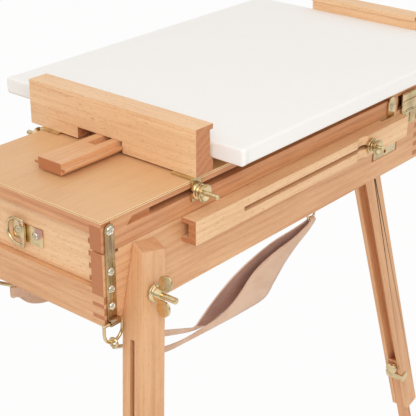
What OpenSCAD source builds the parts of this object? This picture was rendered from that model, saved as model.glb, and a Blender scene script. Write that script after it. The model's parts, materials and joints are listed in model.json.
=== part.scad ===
// Half-size sketch-box easel: a drawer box on three telescopic legs, with a lid that carries a sliding
// mast and two canvas holders. The lid is closed and a blank canvas is clamped flat on it.
// X runs to the painter's right, Y away from the painter, Z up. Drawer front at the low-Y end.

/* [Overall] */
// Height of the closed lid above the floor
table_h = 908; // [880:1:930]

/* [Box] */
// Width of the box over its side panels
box_w = 214; // [208:1:222]
// Length of the box from the drawer end to the rear
box_l = 560; // [552:1:572]
// Height of the closed box
box_h = 110; // [106:1:114]
// Thickness of the side panels
side_t = 15; // [12:0.5:17]
// Thickness of the front rail and the rear panel
end_t = 12; // [10:0.5:14]
// Depth of the upper edge of the front rail below the lid
front_rail_d = 72.5; // [71.5:0.5:74]
// Thickness of the plywood bottom
bottom_t = 4; // [3:0.5:5]
// Height of the plywood bottom above the lower edge
bottom_up = 8; // [7:0.5:10]
// Height of one corner finger
finger_h = 6.3; // [5:0.1:7]
// Spacing of the corner fingers
finger_pitch = 12.3; // [11.5:0.1:13]

/* [Lid] */
// Height of the lid section
lid_h = 34; // [33:0.5:36]
// Thickness of the lid plywood
ply_t = 3; // [2.5:0.5:3.5]
// Depth of the upper edge of the guide slot
slot_d = 8; // [7.5:0.5:9]
// Height of the guide slot
slot_h = 7.5; // [7:0.5:8]
// Start of the through part of the guide slot
slot_start = 70; // [66:1:74]
// End of the guide slot
slot_end = 484; // [470:1:484]
// Height of the lid front rail including the plywood
lid_front_h = 16; // [15:0.5:16.3]
// Distance of the lid pivot behind the front
pivot_y = 9.7; // [9:0.1:10.5]
// Depth of the lid pivot
pivot_d = 11.5; // [11:0.1:12.5]

/* [Drawer] */
// Recess of the drawer front
drawer_y = 7; // [6:0.5:9]
// Depth of the upper edge of the drawer
drawer_d = 17.5; // [17.2:0.1:18.5]
// Thickness of the drawer front
drawer_front_t = 10; // [9:0.5:12]
// Thickness of the drawer sides
drawer_side_t = 9.5; // [8:0.5:10]
// Length of the drawer
drawer_l = 520; // [480:1:528]
// Radius of the pull ring wire
ring_wire_r = 1.6; // [1.3:0.1:1.9]

/* [Canvas holders] */
// Front face of the lower holder
holder_y = 128; // [124:1:134]
// Height of the lower holder
holder_h = 49.7; // [46:0.1:52]
// Thickness of the lower holder
holder_t = 21; // [19:0.5:23]
// Left end of the lower holder
holder_x0 = -127.5; // [-135:0.5:-120]
// Right end of the lower holder
holder_x1 = 110.5; // [109:0.5:114]
// Thickness of the holder brackets
bracket_t = 2; // [1.5:0.1:2.3]
// Width of the mast bar
mast_w = 33; // [30:1:36]
// Thickness of the mast bar
mast_t = 12.5; // [11:0.5:13.5]
// Length of the mast bar
mast_l = 593; // [591:1:600]
// Middle of the mast bar across the box
mast_x = -10.5; // [-12:0.5:-9]
// Length of the upper clamp
clamp_w = 162; // [150:1:180]

/* [Canvas] */
// Width of the canvas
canvas_w = 341; // [330:1:350]
// Length of the canvas
canvas_l = 463.5; // [455:0.5:466]
// Thickness of the stretched canvas
canvas_t = 18; // [17:0.5:20]
// Width of the stretcher bars
stretcher_w = 36; // [30:1:42]

/* [Legs] */
// Width of a front leg
leg_w = 33; // [30:1:34]
// Thickness of a front leg
leg_t = 25; // [23:0.5:26]
// Length of a front leg below its bolt
leg_l = 515; // [505:1:525]
// Forward lean of the front legs
leg_lean = 13; // [12:0.5:14]
// Outward splay of the front legs
leg_splay = 10; // [9:0.5:10.5]
// Side of the square inner legs
inner_leg = 14; // [13:0.5:15]
// Overlap of the inner legs in the outer ones
leg_overlap = 110; // [100:1:130]
// Backward lean of the rear leg
rear_lean = 19.4; // [18:0.1:20]
// Thickness of the rear leg
rear_leg_t = 26.4; // [25:0.1:27]
// Length of the rear leg below its pin
rear_leg_l = 543; // [535:1:550]

/* [Stay arms] */
// Thickness of a stay arm
arm_t = 18; // [16:0.5:20]
// Height of a stay arm
arm_h = 26; // [24:0.5:28]
// Near end of the stay arms
arm_y0 = 110; // [106:1:116]
// Width of the stay slot
arm_slot_h = 5.6; // [5.4:0.1:6.5]

/* [Hardware] */
// Width of the corner plates
corner_w = 12; // [10:0.5:13]
// Thickness of the corner plates
corner_t = 2; // [1.5:0.1:2.5]
// Radius of the clamp bolts
bolt_r = 2.4; // [2:0.1:2.6]
// Outer radius of the cup nuts
cup_r = 9.5; // [8.5:0.1:10]
// Radius of the leg bolts
stud_r = 3; // [2.6:0.1:3.2]

/* [Hidden] */
$fn = 48;

// Clearances
seam = 0.3;
slide_gap = 0.3;
pin_gap = 0.05;
face_gap = 0.3;

half_w = box_w / 2;
lid_half = half_w - seam;
inner_half = half_w - side_t;

// Leg geometry, with the bolt of a front leg and the pin of the rear leg as origins
leg_y = 46;
leg_d = 83.5;
leg_wedge = 29;
leg_top = 45;
leg_pivot_z = table_h - leg_d;
leg_in = (face_gap - leg_wedge * sin(leg_splay)) / cos(leg_splay);
leg_out = leg_in + leg_t;
leg_mid = (leg_in + leg_out) / 2;
channel = inner_leg + 2 * slide_gap;
front_inner_l = leg_pivot_z / (cos(leg_splay) * cos(leg_lean)) - leg_l + leg_overlap + 20;
rear_over = 33;
rear_y = box_l + rear_over;
rear_d = box_h + rear_leg_t / 2 + 1;
rear_pivot_z = table_h - rear_d;
rear_w = rear_leg_t + 1.6;
rear_inner_l = rear_pivot_z / cos(rear_lean) - rear_leg_l + leg_overlap + 20;
foot_front = leg_y - leg_pivot_z * tan(leg_lean) - inner_leg / 2 / cos(leg_lean);
rear_back = 1.5;
foot_rear = rear_y + rear_pivot_z * tan(rear_lean) + rear_back / cos(rear_lean);
y_shift = -(foot_front + foot_rear) / 2;

// Holder geometry
beam_z = bracket_t + slide_gap;
lip_out = 4.5;
lip_h = 5.5;
guide_base = 1.7;
mast_z = guide_base + slide_gap;
mast_top = mast_z + mast_t;
tongue = 5.5;
tongue_h = 3;
tongue_z = mast_z + 4.6;
bolt_y = holder_y + 2;
bolt_d = slot_d + slot_h / 2;
canvas_y0 = holder_y + holder_t + lip_out + face_gap;
canvas_z = mast_top + slide_gap;
clamp_y = canvas_y0 + canvas_l + face_gap;
canvas_x = -24.2;
mast_y0 = 47;
guide_y = 470;
guide_w = 18;

// Stay geometry
stay_y = 488.6;
stay_d = 23.7;
arm_d0 = lid_h + 0.5;
arm_mid = arm_d0 + arm_h / 2;
arm_y1 = 500;
stay_bolt_y = 418;
arm_x = half_w + face_gap;

function z_at(d) = table_h - d;

module place() translate([0, y_shift, 0]) children();
module flip() mirror([1, 0, 0]) children();
module both() {
    children();
    flip() children();
}
// A block between two X, two Y and two depths below the lid
module block(x0, x1, y0, y1, d0, d1) {
    translate([x0, y0, z_at(d1)]) cube([x1 - x0, y1 - y0, d1 - d0]);
}
// A block between two X, two Y and two heights above the lid
module raised(x0, x1, y0, y1, z0, z1) block(x0, x1, y0, y1, -z1, -z0);
module rod_x(x0, x1, y, d, r) {
    translate([x0, y, z_at(d)]) rotate([0, 90, 0]) cylinder(h = x1 - x0, r = r);
}
module rod_y(y0, y1, x, d, r) {
    translate([x, y0, z_at(d)]) rotate([-90, 0, 0]) cylinder(h = y1 - y0, r = r);
}
module rod_z(d0, d1, x, y, r) translate([x, y, z_at(d1)]) cylinder(h = d1 - d0, r = r);

// A domed screw head with a cross recess, axis along X, its seat at x
module screw_head(x, y, d, r) {
    translate([x, y, z_at(d)]) rotate([0, 90, 0]) difference() {
        rotate_extrude($fn = 24) intersection() {
            translate([0, -r * 0.9]) circle(r = r * 1.35);
            square([r, r]);
        }
        for (a = [0, 90]) rotate(a) translate([-r * 0.55, -0.3, r * 0.2]) cube([r * 1.1, 0.6, r]);
    }
}
module side_screw(x, y, d, r, shank, depth) {
    screw_head(x, y, d, r);
    rod_x(x - depth, x, y, d, shank);
}

// Fingers of the two ends, which fill the same gaps in the side panels
finger_top = 78;
finger_count = 3;
back_finger_top = lid_h + 4;
back_fingers = 6;
module front_fingers() {
    for (k = [0 : finger_count - 1]) {
        d0 = finger_top + k * finger_pitch;
        d1 = k == finger_count - 1 ? box_h : d0 + finger_h + 1.7;
        block(inner_half, half_w, 0, end_t, d0, d1);
    }
}
module rear_fingers() {
    for (k = [0 : back_fingers - 1]) {
        d0 = back_finger_top + k * finger_pitch;
        block(inner_half, half_w, box_l - end_t, box_l, d0, d0 + finger_h);
    }
}
module bottom_board(extra) {
    tongue_in = side_t / 3;
    block(-inner_half - tongue_in, inner_half + tongue_in, end_t - tongue_in,
        box_l - end_t + tongue_in, box_h - bottom_up - bottom_t - extra, box_h - bottom_up + extra);
}

// Stow plate recess, plate and screws on the outer face
stow_y = 458;
stow_l = 50;
stow_h = 11;
stow_d = 80;
stow_gap = 5;
module stow_recess() block(half_w - 2.5, half_w + 1, stow_y - stow_gap, stow_y + stow_l, stow_d - stow_h / 2, stow_d + stow_h / 2);

module side_panel() {
    difference() {
        block(inner_half, half_w, 0, box_l, lid_h + seam, box_h);
        front_fingers();
        rear_fingers();
        bottom_board(0);
        stow_recess();
        block(half_w - 4, half_w + 1, 16.5, 21, lid_h - 1, lid_h + 3.5);
        rod_x(inner_half - 1, half_w + 1, leg_y, leg_d, stud_r - pin_gap);
        for (d = corner_screw_d) rod_x(half_w - 9, half_w + 1, corner_mid, d, 1.7);
        for (s = [-1, 1]) rod_x(half_w - 12, half_w, stow_y + stow_l / 2 + s * 18, stow_d, 1.7);
        rod_x(half_w - 10, half_w, stow_y + stow_l / 2, stow_d, bolt_r);
        rod_z(box_h - bottom_up + 1, box_h + 1, eye_x, eye_y, 1.6);
    }
}
module side_panel_right() color([0.80, 0.56, 0.35]) place() side_panel();
module side_panel_left() color([0.80, 0.56, 0.35]) place() flip() side_panel();

module front_rail() {
    color([0.84, 0.62, 0.40]) place() difference() {
        union() {
            block(-inner_half, inner_half, 0, end_t, front_rail_d, box_h);
            both() front_fingers();
        }
        bottom_board(0);
        both() rod_x(half_w - 9, half_w + 1, corner_mid, corner_screw_d[2], 1.7);
    }
}
module back_panel() {
    color([0.80, 0.56, 0.35]) place() difference() {
        union() {
            block(-inner_half, inner_half, box_l - end_t, box_l, lid_h + seam, box_h);
            both() rear_fingers();
        }
        bottom_board(0);
        rear_screw_places() rotate([90, 0, 0]) cylinder(h = 10, r = 1.7);
    }
}
module bottom_panel() color([0.86, 0.70, 0.48]) place() bottom_board(0);

// Strips that carry the drawer
runner_h = 6;
runner_w = 9;
drawer_bottom_d = front_rail_d - 0.5;
module drawer_runners() {
    color([0.82, 0.60, 0.38]) place() both() block(inner_half - runner_w, inner_half, end_t,
        box_l - end_t, drawer_bottom_d + seam, drawer_bottom_d + seam + runner_h);
}

// Corner plate: a strap with a round top and a rolled loop at its foot
corner_y = 3;
corner_top = 4.6;
loop_d = box_h - 4.5;
loop_r = 3.8;
loop_bore = 2.1;
corner_mid = corner_y + corner_w / 2;
corner_screw_d = [53.6, 72, 90];
module corner_plate() {
    x0 = half_w;
    difference() {
        union() {
            block(x0, x0 + corner_t, corner_y, corner_y + corner_w, corner_top + corner_w / 2, loop_d);
            rod_x(x0, x0 + corner_t, corner_mid, corner_top + corner_w / 2, corner_w / 2);
            rod_y(corner_y, corner_y + corner_w, x0 + loop_r, loop_d, loop_r);
        }
        rod_x(x0 - 1, x0 + corner_t + 1, pivot_y, pivot_d, 2 + pin_gap);
        for (d = corner_screw_d) rod_x(x0 - 1, x0 + corner_t + 1, corner_mid, d, 1.7);
        rod_y(corner_y - 1, corner_y + corner_w + 1, x0 + loop_r, loop_d, loop_bore);
    }
}
module corner_plates() color([0.72, 0.62, 0.36]) place() both() corner_plate();

module stow_screw() {
    for (s = [-1, 1]) translate([half_w - 2.5, stow_y + stow_l / 2 + s * 18, z_at(stow_d)])
        rotate([0, 90, 0]) cylinder(h = 1.8, r1 = 1.7, r2 = 3, $fn = 24);
}
module stow_plate() {
    x0 = half_w - 2.5;
    difference() {
        block(x0, x0 + 1.8, stow_y, stow_y + stow_l, stow_d - stow_h / 2, stow_d + stow_h / 2);
        rod_x(x0 - 1, x0 + 3, stow_y + stow_l / 2, stow_d, bolt_r);
        stow_screw();
    }
}

// Wood screws of the box: corner plates, stow plates and rear bracket
bracket_plate_h = 42;
bracket_plate_d = 62;
module rear_screw_places() {
    for (s = [-1, 1]) for (d = [8, bracket_plate_h - 8]) {
        translate([s * 9, box_l, z_at(bracket_plate_d + d)]) children();
    }
}
module box_screws() {
    color([0.80, 0.78, 0.72]) place() {
        both() {
            for (d = corner_screw_d) side_screw(half_w + corner_t, corner_mid, d, 3, 1.7, corner_t + 9);
            stow_screw();
            for (s = [-1, 1]) rod_x(half_w - 12, half_w - 2.5, stow_y + stow_l / 2 + s * 18, stow_d, 1.7);
        }
        rear_screw_places() rotate([-90, 0, 0]) {
            translate([0, 0, ear_t]) cylinder(h = 1.4, r1 = 3, r2 = 2, $fn = 24);
            translate([0, 0, -10]) cylinder(h = 10 + ear_t, r = 1.7);
        }
    }
}

// Bolts of the front legs, and the cup washers that ride on them
washer_x = half_w + leg_out / cos(leg_splay) + 1.75;
washer_t = 3.2;
stud_end = half_w + 50;
module leg_stud() {
    rod_x(inner_half - 4, stud_end - 1, leg_y, leg_d, stud_r - pin_gap);
    translate([stud_end - 1, leg_y, z_at(leg_d)]) rotate([0, 90, 0])
        cylinder(h = 1, r1 = stud_r - pin_gap, r2 = stud_r - 1);
    rod_x(inner_half - 7, inner_half, leg_y, leg_d, 5);
}
module leg_studs() color([0.80, 0.74, 0.55]) place() both() leg_stud();
module leg_washer() {
    translate([washer_x, leg_y, z_at(leg_d)]) rotate([0, 90, 0]) rotate_extrude()
        polygon([[stud_r, 1.6], [6, 1.6], [8, 0.3], [9.5, 0], [9.5, 1.2], [8.4, 1.6], [6.6, washer_t], [stud_r, washer_t]]);
}
module leg_washer_right() color([0.80, 0.72, 0.48]) place() leg_washer();
module leg_washer_left() color([0.80, 0.72, 0.48]) place() flip() leg_washer();

// Wing nut on the bolt, axis along X
nut_x = washer_x + washer_t + 0.1;
module wing_nut() {
    translate([nut_x, leg_y, z_at(leg_d)]) rotate([-8, 0, 0]) difference() {
        union() {
            rotate([0, 90, 0]) cylinder(h = 7, r1 = 6.5, r2 = 5);
            for (s = [-1, 1]) {
                translate([9, 1.2, s * 13]) rotate([90, 0, 0]) cylinder(h = 2.4, r = 8);
                translate([2, -1.2, s * 7 - 4]) cube([8, 2.4, 8]);
            }
        }
        translate([-1, 0, 0]) rotate([0, 90, 0]) cylinder(h = 30, r = stud_r);
        for (s = [-1, 1]) translate([7.1, 0, 0]) rotate([0, 90, 0]) cylinder(h = 30, r = 5.4);
    }
}
module wing_nut_right() color([0.82, 0.76, 0.52]) place() wing_nut();
module wing_nut_left() color([0.82, 0.76, 0.52]) place() flip() wing_nut();

// Rear bracket: a plate on the rear panel with two ears that reach past the lower edge
ear_x = rear_w / 2 + slide_gap;
ear_t = 2;
pin_r = 3;
module side_cut(x0, x1) {
    translate([x0, 0, table_h]) rotate([90, 0, 90]) linear_extrude(x1 - x0) mirror([0, 1]) children();
}
module rear_ear() {
    difference() {
        union() {
            side_cut(ear_x, ear_x + ear_t) polygon([[box_l, bracket_plate_d], [box_l + 14, bracket_plate_d],
                [rear_y + 9, rear_d - 6], [rear_y + 9, rear_d], [rear_y - 6, rear_d + 8], [box_l, bracket_plate_d + bracket_plate_h]]);
            rod_x(ear_x, ear_x + ear_t, rear_y, rear_d, 9);
        }
        rod_x(ear_x - 1, ear_x + ear_t + 1, rear_y, rear_d, pin_r - pin_gap);
    }
}
module rear_bracket() {
    color([0.72, 0.62, 0.36]) place() {
        difference() {
            block(-ear_x - ear_t, ear_x + ear_t, box_l, box_l + ear_t, bracket_plate_d, bracket_plate_d + bracket_plate_h);
            rear_screw_places() translate([0, 3, 0]) rotate([90, 0, 0]) cylinder(h = 4, r = 1.7);
        }
        both() rear_ear();
        rod_x(-ear_x - ear_t - 0.1, ear_x + ear_t + 0.1, rear_y, rear_d, pin_r - pin_gap);
        both() rod_x(ear_x + ear_t, ear_x + ear_t + 2, rear_y, rear_d, 5);
    }
}

// Screw eyes under the side panels, the front rings, hooks and strap ends
eye_x = half_w - 10;
eye_y = 345;
eye_r = 6.5;
wire = 1.4;
eye_d = box_h + 0.1 + wire + eye_r;
module ring_at(r, w) rotate_extrude() translate([r, 0]) circle(r = w, $fn = 16);
module strap_eye() {
    rod_z(box_h - bottom_up + 1, box_h + 1.6, eye_x, eye_y, 1.6);
    translate([eye_x, eye_y, z_at(eye_d)]) rotate([0, 90, 0]) ring_at(eye_r, wire);
}
ring_x = half_w + loop_r;
ring_y0 = -5;
ring_y1 = 19;
ring_mid = (ring_y0 + ring_y1) / 2;
ring_in = (ring_y1 - ring_y0) / 2;
ring_bar = loop_d + loop_bore - wire - 0.25;
ring_drop = ring_bar + 8.6;
ring_wire = wire + 0.2;
module front_ring() {
    rod_y(ring_y0, ring_y1, ring_x, ring_bar, ring_wire);
    for (y = [ring_y0, ring_y1]) {
        rod_z(ring_bar, ring_drop, ring_x, y, ring_wire);
        translate([ring_x, y, z_at(ring_bar)]) sphere(r = ring_wire, $fn = 16);
    }
    translate([ring_x, ring_mid, z_at(ring_drop)]) rotate([0, 90, 0]) rotate(-90) rotate_extrude(angle = 180)
        translate([ring_in, 0]) circle(r = ring_wire, $fn = 16);
}
// Snap hook: a small ring round the front ring, a slanted stem and the bar that holds the strap
hook_r = 4.5;
hook_d = ring_drop + ring_in + hook_r - wire - ring_wire + 0.1;
hook_y1 = 58;
hook_d1 = 160;
strap_x = half_w - 13;
stem_dx = strap_x + 1 - ring_x;
stem_dy = hook_y1 - ring_mid;
stem_dd = hook_d1 - hook_d - hook_r;
stem_l = sqrt(stem_dx * stem_dx + stem_dy * stem_dy + stem_dd * stem_dd);
module snap_hook() {
    translate([ring_x, ring_mid, z_at(hook_d)]) rotate([90, 0, 0]) ring_at(hook_r, wire);
    translate([ring_x, ring_mid, z_at(hook_d + hook_r)]) rotate([0, 180 - acos(stem_dd / stem_l), atan2(stem_dy, stem_dx)])
        cylinder(h = stem_l, r = 2.1);
    rod_z(hook_d1 - 14, hook_d1 + 15, strap_x + 1, hook_y1, 1.7);
}
module strap_hardware() {
    color([0.80, 0.68, 0.36]) place() both() {
        strap_eye();
        front_ring();
        snap_hook();
    }
}
module strap_flat(x0, pts) side_cut(x0, x0 + 2) polygon(pts);
strap_y0 = hook_y1 + 1.8;
strap_top = eye_d + eye_r + wire + 0.1;
module strap_right() {
    color([0.80, 0.62, 0.52]) place() {
        strap_flat(strap_x, [[348, strap_top], [342, 132], [250, 149], [213, 175], [187, 183], [154, 184], [136, 177],
            [95, 160], [strap_y0, 148], [strap_y0, 156], [95, 167], [132, 181], [150, 185.2], [124, 184], [94, 179], [strap_y0, 166],
            [strap_y0, 173], [94, 184.5], [124, 187.5], [154, 190], [207, 193], [261, 195], [288, 173], [348, 137]]);
        strap_flat(strap_x - 6, [[348, strap_top], [281, 131], [213, 150], [145, 183], [150, 189], [187, 190], [240, 178], [300, 158], [348, 139]]);
        block(strap_x - 6, strap_x + 4, 343, 348, strap_top, 137);
    }
}
module strap_left() {
    color([0.80, 0.62, 0.52]) place() flip() {
        strap_flat(strap_x, [[348, strap_top], [342, 132], [250, 149], [213, 172], [150, 186], [109, 187], [86, 179], [67, 163],
            [strap_y0, 160], [strap_y0, 172], [67, 182], [84, 195], [108, 202], [160, 203], [261, 195], [288, 173], [348, 137]]);
        strap_flat(strap_x - 6, [[348, strap_top], [281, 131], [213, 150], [145, 183], [150, 189], [187, 190], [240, 178], [300, 158], [348, 139]]);
        block(strap_x - 6, strap_x + 4, 343, 348, strap_top, 137);
    }
}

// Lid
lid_side_x = lid_half - side_t;
front_lap_d = 7;
recess_y = 504;
recess_l = 13;
module lid_panel() color([0.88, 0.72, 0.48]) place() block(-lid_half, lid_half, 0, box_l, 0, ply_t);
module lid_fingers() {
    for (d = [10, 22]) block(lid_side_x, lid_half, box_l - end_t, box_l, d, d + finger_h);
}
module lid_side_rail() {
    difference() {
        block(lid_side_x, lid_half, 0, box_l, ply_t, lid_h);
        block(lid_side_x - 1, lid_half + 1, -1, end_t, 0, front_lap_d);
        difference() {
            block(lid_side_x - 1, lid_half + 1, -1, pivot_y, pivot_d, lid_h + 1);
            rod_x(lid_side_x - 2, lid_half + 2, pivot_y, pivot_d, lid_h - pivot_d);
        }
        lid_fingers();
        block(lid_side_x - 1, lid_half + 1, slot_start, slot_end, slot_d, slot_d + slot_h);
        side_cut(lid_half - 5, lid_half + 1) polygon([[33.8, slot_d + slot_h], [41.3, slot_d], [slot_start + 1, slot_d], [slot_start + 1, slot_d + slot_h]]);
        block(lid_half - 7, lid_half + 1, recess_y, recess_y + recess_l, 15, lid_h + 1);
        rod_x(lid_half - 10, lid_half + 1, pivot_y, pivot_d, 2);
        rod_x(lid_half - 10, lid_half + 1, stay_y, stay_d, 2);
    }
}
module lid_side_rail_right() color([0.82, 0.58, 0.37]) place() lid_side_rail();
module lid_side_rail_left() color([0.82, 0.58, 0.37]) place() flip() lid_side_rail();
module lid_end_rails() {
    color([0.76, 0.50, 0.30]) place() {
        difference() {
            union() {
                block(-lid_half, lid_half, 0, end_t, ply_t, front_lap_d);
                block(-lid_side_x, lid_side_x, 0, end_t, ply_t, lid_front_h + 0.3);
            }
            block(-lid_side_x - 1, lid_side_x + 1, 2.7, end_t + 1, 14.5, lid_front_h + 1);
        }
        block(-lid_side_x, lid_side_x, box_l - end_t, box_l, ply_t, lid_h);
        both() lid_fingers();
    }
}
module lid_pivot_screws() {
    color([0.80, 0.78, 0.72]) place() both() {
        side_screw(half_w + corner_t + 0.1, pivot_y, pivot_d, 4, 2, half_w + corner_t - lid_half + 10);
        side_screw(arm_x + strap_t + 0.1, stay_y, stay_d, 4, 2, arm_x + strap_t - lid_half + 10);
    }
}
guide_half = mast_w / 2 + tongue + slide_gap;
module mast_guide() {
    color([0.82, 0.60, 0.38]) place() difference() {
        raised(mast_x - guide_half - 8, mast_x + guide_half + 8, guide_y, guide_y + guide_w, 0, mast_top - 1.8);
        raised(mast_x - mast_w / 2 - slide_gap, mast_x + mast_w / 2 + slide_gap, guide_y - 1, guide_y + guide_w + 1, guide_base, 40);
        raised(mast_x - guide_half, mast_x + guide_half, guide_y - 1, guide_y + guide_w + 1, tongue_z - slide_gap, tongue_z + tongue_h + slide_gap);
    }
}

// Latches at the rear of the sides
latch_y0 = 511;
latch_y1 = 545;
latch_d = 39;
latch_r = 2.2;
latch_x = half_w + latch_r;
module latch_catches() {
    color([0.80, 0.70, 0.42]) place() both() {
        block(lid_half - 7, lid_half - 1, recess_y + 2, recess_y + recess_l - 2, 18, 30);
    }
}
module latch_base() {
    block(half_w, half_w + 1.2, latch_y0, latch_y1, latch_d + latch_r + 0.3, 57);
    block(half_w, half_w + 1.2, latch_y0 + 9.3, latch_y1 - 9.3, latch_d, 57);
    rod_y(latch_y0 + 9.3, latch_y1 - 9.3, latch_x, latch_d, latch_r);
    rod_y(latch_y0, latch_y1, latch_x, latch_d, 1);
    for (y = [latch_y0 + 11, latch_y1 - 12.5]) block(half_w + 1, half_w + 2, y, y + 1.5, latch_d + 2, 55);
}
module side_fittings() {
    color([0.78, 0.68, 0.42]) place() both() {
        stow_plate();
        latch_base();
    }
}
module latch_lever() {
    difference() {
        union() {
            block(latch_x - 0.6, latch_x + 0.8, latch_y0, latch_y1, 14, latch_d - latch_r - 0.3);
            for (y = [latch_y0, latch_y1 - 9]) rod_y(y, y + 9, latch_x, latch_d, latch_r);
            for (y = [latch_y0, latch_y1 - 9]) block(latch_x - 0.6, latch_x + 0.8, y, y + 9, 30, latch_d);
            for (d = [15, 24]) block(latch_x - 0.6, latch_x + 2, latch_y0 + 2, latch_y1 - 2, d, d + 1.6);
        }
        rod_y(latch_y0 - 1, latch_y1 + 1, latch_x, latch_d, 1 + pin_gap);
    }
}
module latch_lever_right() color([0.80, 0.70, 0.42]) place() latch_lever();
module latch_lever_left() color([0.80, 0.70, 0.42]) place() flip() latch_lever();

// Mast bar with side tongues and a groove in its upper face
module mast_bar() {
    color([0.82, 0.58, 0.37]) place() difference() {
        union() {
            raised(mast_x - mast_w / 2, mast_x + mast_w / 2, mast_y0, mast_y0 + mast_l, mast_z, mast_top);
            raised(mast_x - mast_w / 2 - tongue, mast_x + mast_w / 2 + tongue, mast_y0, mast_y0 + mast_l, tongue_z, tongue_z + tongue_h);
        }
        raised(mast_x - 6, mast_x + 6, mast_y0 + 58, clamp_y - 30, mast_top - 6, mast_top + 1);
    }
}
clamp_t = 21;
clamp_z1 = 50;
module upper_clamp() {
    x0 = mast_x - 93;
    color([0.82, 0.60, 0.38]) place() difference() {
        side_cut(x0, x0 + clamp_w) polygon([[clamp_y, -beam_z], [clamp_y + clamp_t, -beam_z], [clamp_y + clamp_t, -clamp_z1],
            [clamp_y - lip_out, -clamp_z1], [clamp_y - lip_out, -clamp_z1 + lip_h], [clamp_y, -clamp_z1 + lip_h]]);
        raised(mast_x - mast_w / 2 - tongue, mast_x + mast_w / 2 + tongue, clamp_y - 1, clamp_y + clamp_t + 1, 0, mast_top);
    }
}
module lower_holder() {
    y1 = holder_y + holder_t;
    z1 = beam_z + holder_h;
    ledge = canvas_z - slide_gap;
    notch_x0 = mast_x - 44;
    notch_x1 = mast_x + mast_w / 2 + 4.4;
    color([0.80, 0.56, 0.35]) place() difference() {
        side_cut(holder_x0, holder_x1) polygon([[holder_y, -beam_z], [y1 + lip_out, -beam_z], [y1 + lip_out, -ledge],
            [y1, -ledge - 4.6], [y1, -z1 + lip_h], [y1 + lip_out, -z1 + lip_h], [y1 + lip_out, -z1], [holder_y, -z1],
            [holder_y, -z1 + 4.4], [holder_y + 0.8, -z1 + 4.7], [holder_y + 0.8, -z1 + 5.5], [holder_y, -z1 + 5.8]]);
        raised(notch_x0, notch_x1, holder_y - 1, y1 + lip_out + 1, 0, mast_top + slide_gap);
        raised(notch_x1 - 1, mast_x + mast_w / 2 + tongue + slide_gap, holder_y - 1, y1 + lip_out + 1, tongue_z - slide_gap, tongue_z + tongue_h + slide_gap);
    }
}
bracket_y0 = holder_y - 4.5;
bracket_y1 = holder_y + 9;
module holder_brackets() {
    color([0.78, 0.66, 0.36]) place() both() difference() {
        union() {
            block(half_w, half_w + bracket_t, bracket_y0, bracket_y1, -beam_z, 22.5);
            raised(half_w - 26, half_w + bracket_t, bracket_y0, bracket_y1, slide_gap, beam_z);
        }
        block(half_w - 1, half_w + bracket_t + 1, bolt_y - 2.6, bolt_y + 2.6, 6, 17.5);
    }
}
holder_tip = half_w + bracket_t + 14;
module holder_bolts() {
    color([0.80, 0.74, 0.55]) place() both() {
        rod_x(lid_side_x - 3, holder_tip, bolt_y, bolt_d, bolt_r);
        rod_x(lid_side_x - 3, lid_side_x - 0.1, bolt_y, bolt_d, 5);
    }
}
// Cup nut, its seat at x
module cup_nut(x, y, d) {
    translate([x, y, z_at(d)]) rotate([0, 90, 0]) rotate_extrude() polygon([[bolt_r + pin_gap, 0], [cup_r - 1, 0],
        [cup_r - 0.4, 0.6], [cup_r - 0.4, 3.6], [cup_r - 1, 4.2], [cup_r - 3.6, 4.8], [cup_r - 4, 6], [cup_r - 1, 9.4],
        [cup_r, 11.6], [cup_r - 0.7, 12], [cup_r - 5, 8.4], [bolt_r + pin_gap, 8.2]]);
}
module holder_nut() cup_nut(half_w + bracket_t + 0.1, bolt_y, bolt_d);
module holder_nut_right() color([0.84, 0.76, 0.48]) place() holder_nut();
module holder_nut_left() color([0.84, 0.76, 0.48]) place() flip() holder_nut();

// Stretched canvas
cloth_t = 0.6;
canvas_x0 = canvas_x - canvas_w / 2;
canvas_x1 = canvas_x + canvas_w / 2;
canvas_y1 = canvas_y0 + canvas_l;
module canvas_stretcher() {
    color([0.86, 0.72, 0.50]) place() difference() {
        raised(canvas_x0 + cloth_t, canvas_x1 - cloth_t, canvas_y0 + cloth_t, canvas_y1 - cloth_t, canvas_z, canvas_z + canvas_t - cloth_t);
        raised(canvas_x0 + stretcher_w, canvas_x1 - stretcher_w, canvas_y0 + stretcher_w, canvas_y1 - stretcher_w, canvas_z - 1, canvas_z + canvas_t);
    }
}
module canvas_cloth() {
    color([0.96, 0.96, 0.95]) place() difference() {
        raised(canvas_x0, canvas_x1, canvas_y0, canvas_y1, canvas_z, canvas_z + canvas_t);
        raised(canvas_x0 + cloth_t, canvas_x1 - cloth_t, canvas_y0 + cloth_t, canvas_y1 - cloth_t, canvas_z - 1, canvas_z + canvas_t - cloth_t);
    }
}

// Slotted stay arms with their brass straps, bolts and nuts
strap_t = 1.7;
relief = 4.7;
relief_y = 462;
arm_end = 500;
slot_y0 = 186;
slot_y1 = 426;
module stay_arm() {
    difference() {
        block(arm_x, arm_x + arm_t, arm_y0, arm_end, arm_d0, arm_d0 + arm_h);
        block(arm_x - 1, arm_x + arm_t + 1, slot_y0, slot_y1, arm_mid - arm_slot_h / 2, arm_mid + arm_slot_h / 2);
        block(arm_x - 1, arm_x + 8.5, arm_y0 - 1, slot_y1 + 12, arm_mid - 8, arm_mid + 8);
        block(arm_x - 1, arm_x + relief, relief_y, arm_end + 1, arm_d0 - 1, arm_d0 + arm_h + 1);
        rod_z(arm_d0 - 1, arm_d0 + arm_h + 1, arm_x + arm_t + 15, 402, 18);
        for (s = [-1, 1]) rod_x(arm_x, arm_x + arm_t - 2, stay_y + s * 4, arm_d0 + 6, 2);
    }
}
module stay_arm_right() color([0.87, 0.66, 0.42]) place() stay_arm();
module stay_arm_left() color([0.87, 0.66, 0.42]) place() flip() stay_arm();
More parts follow.
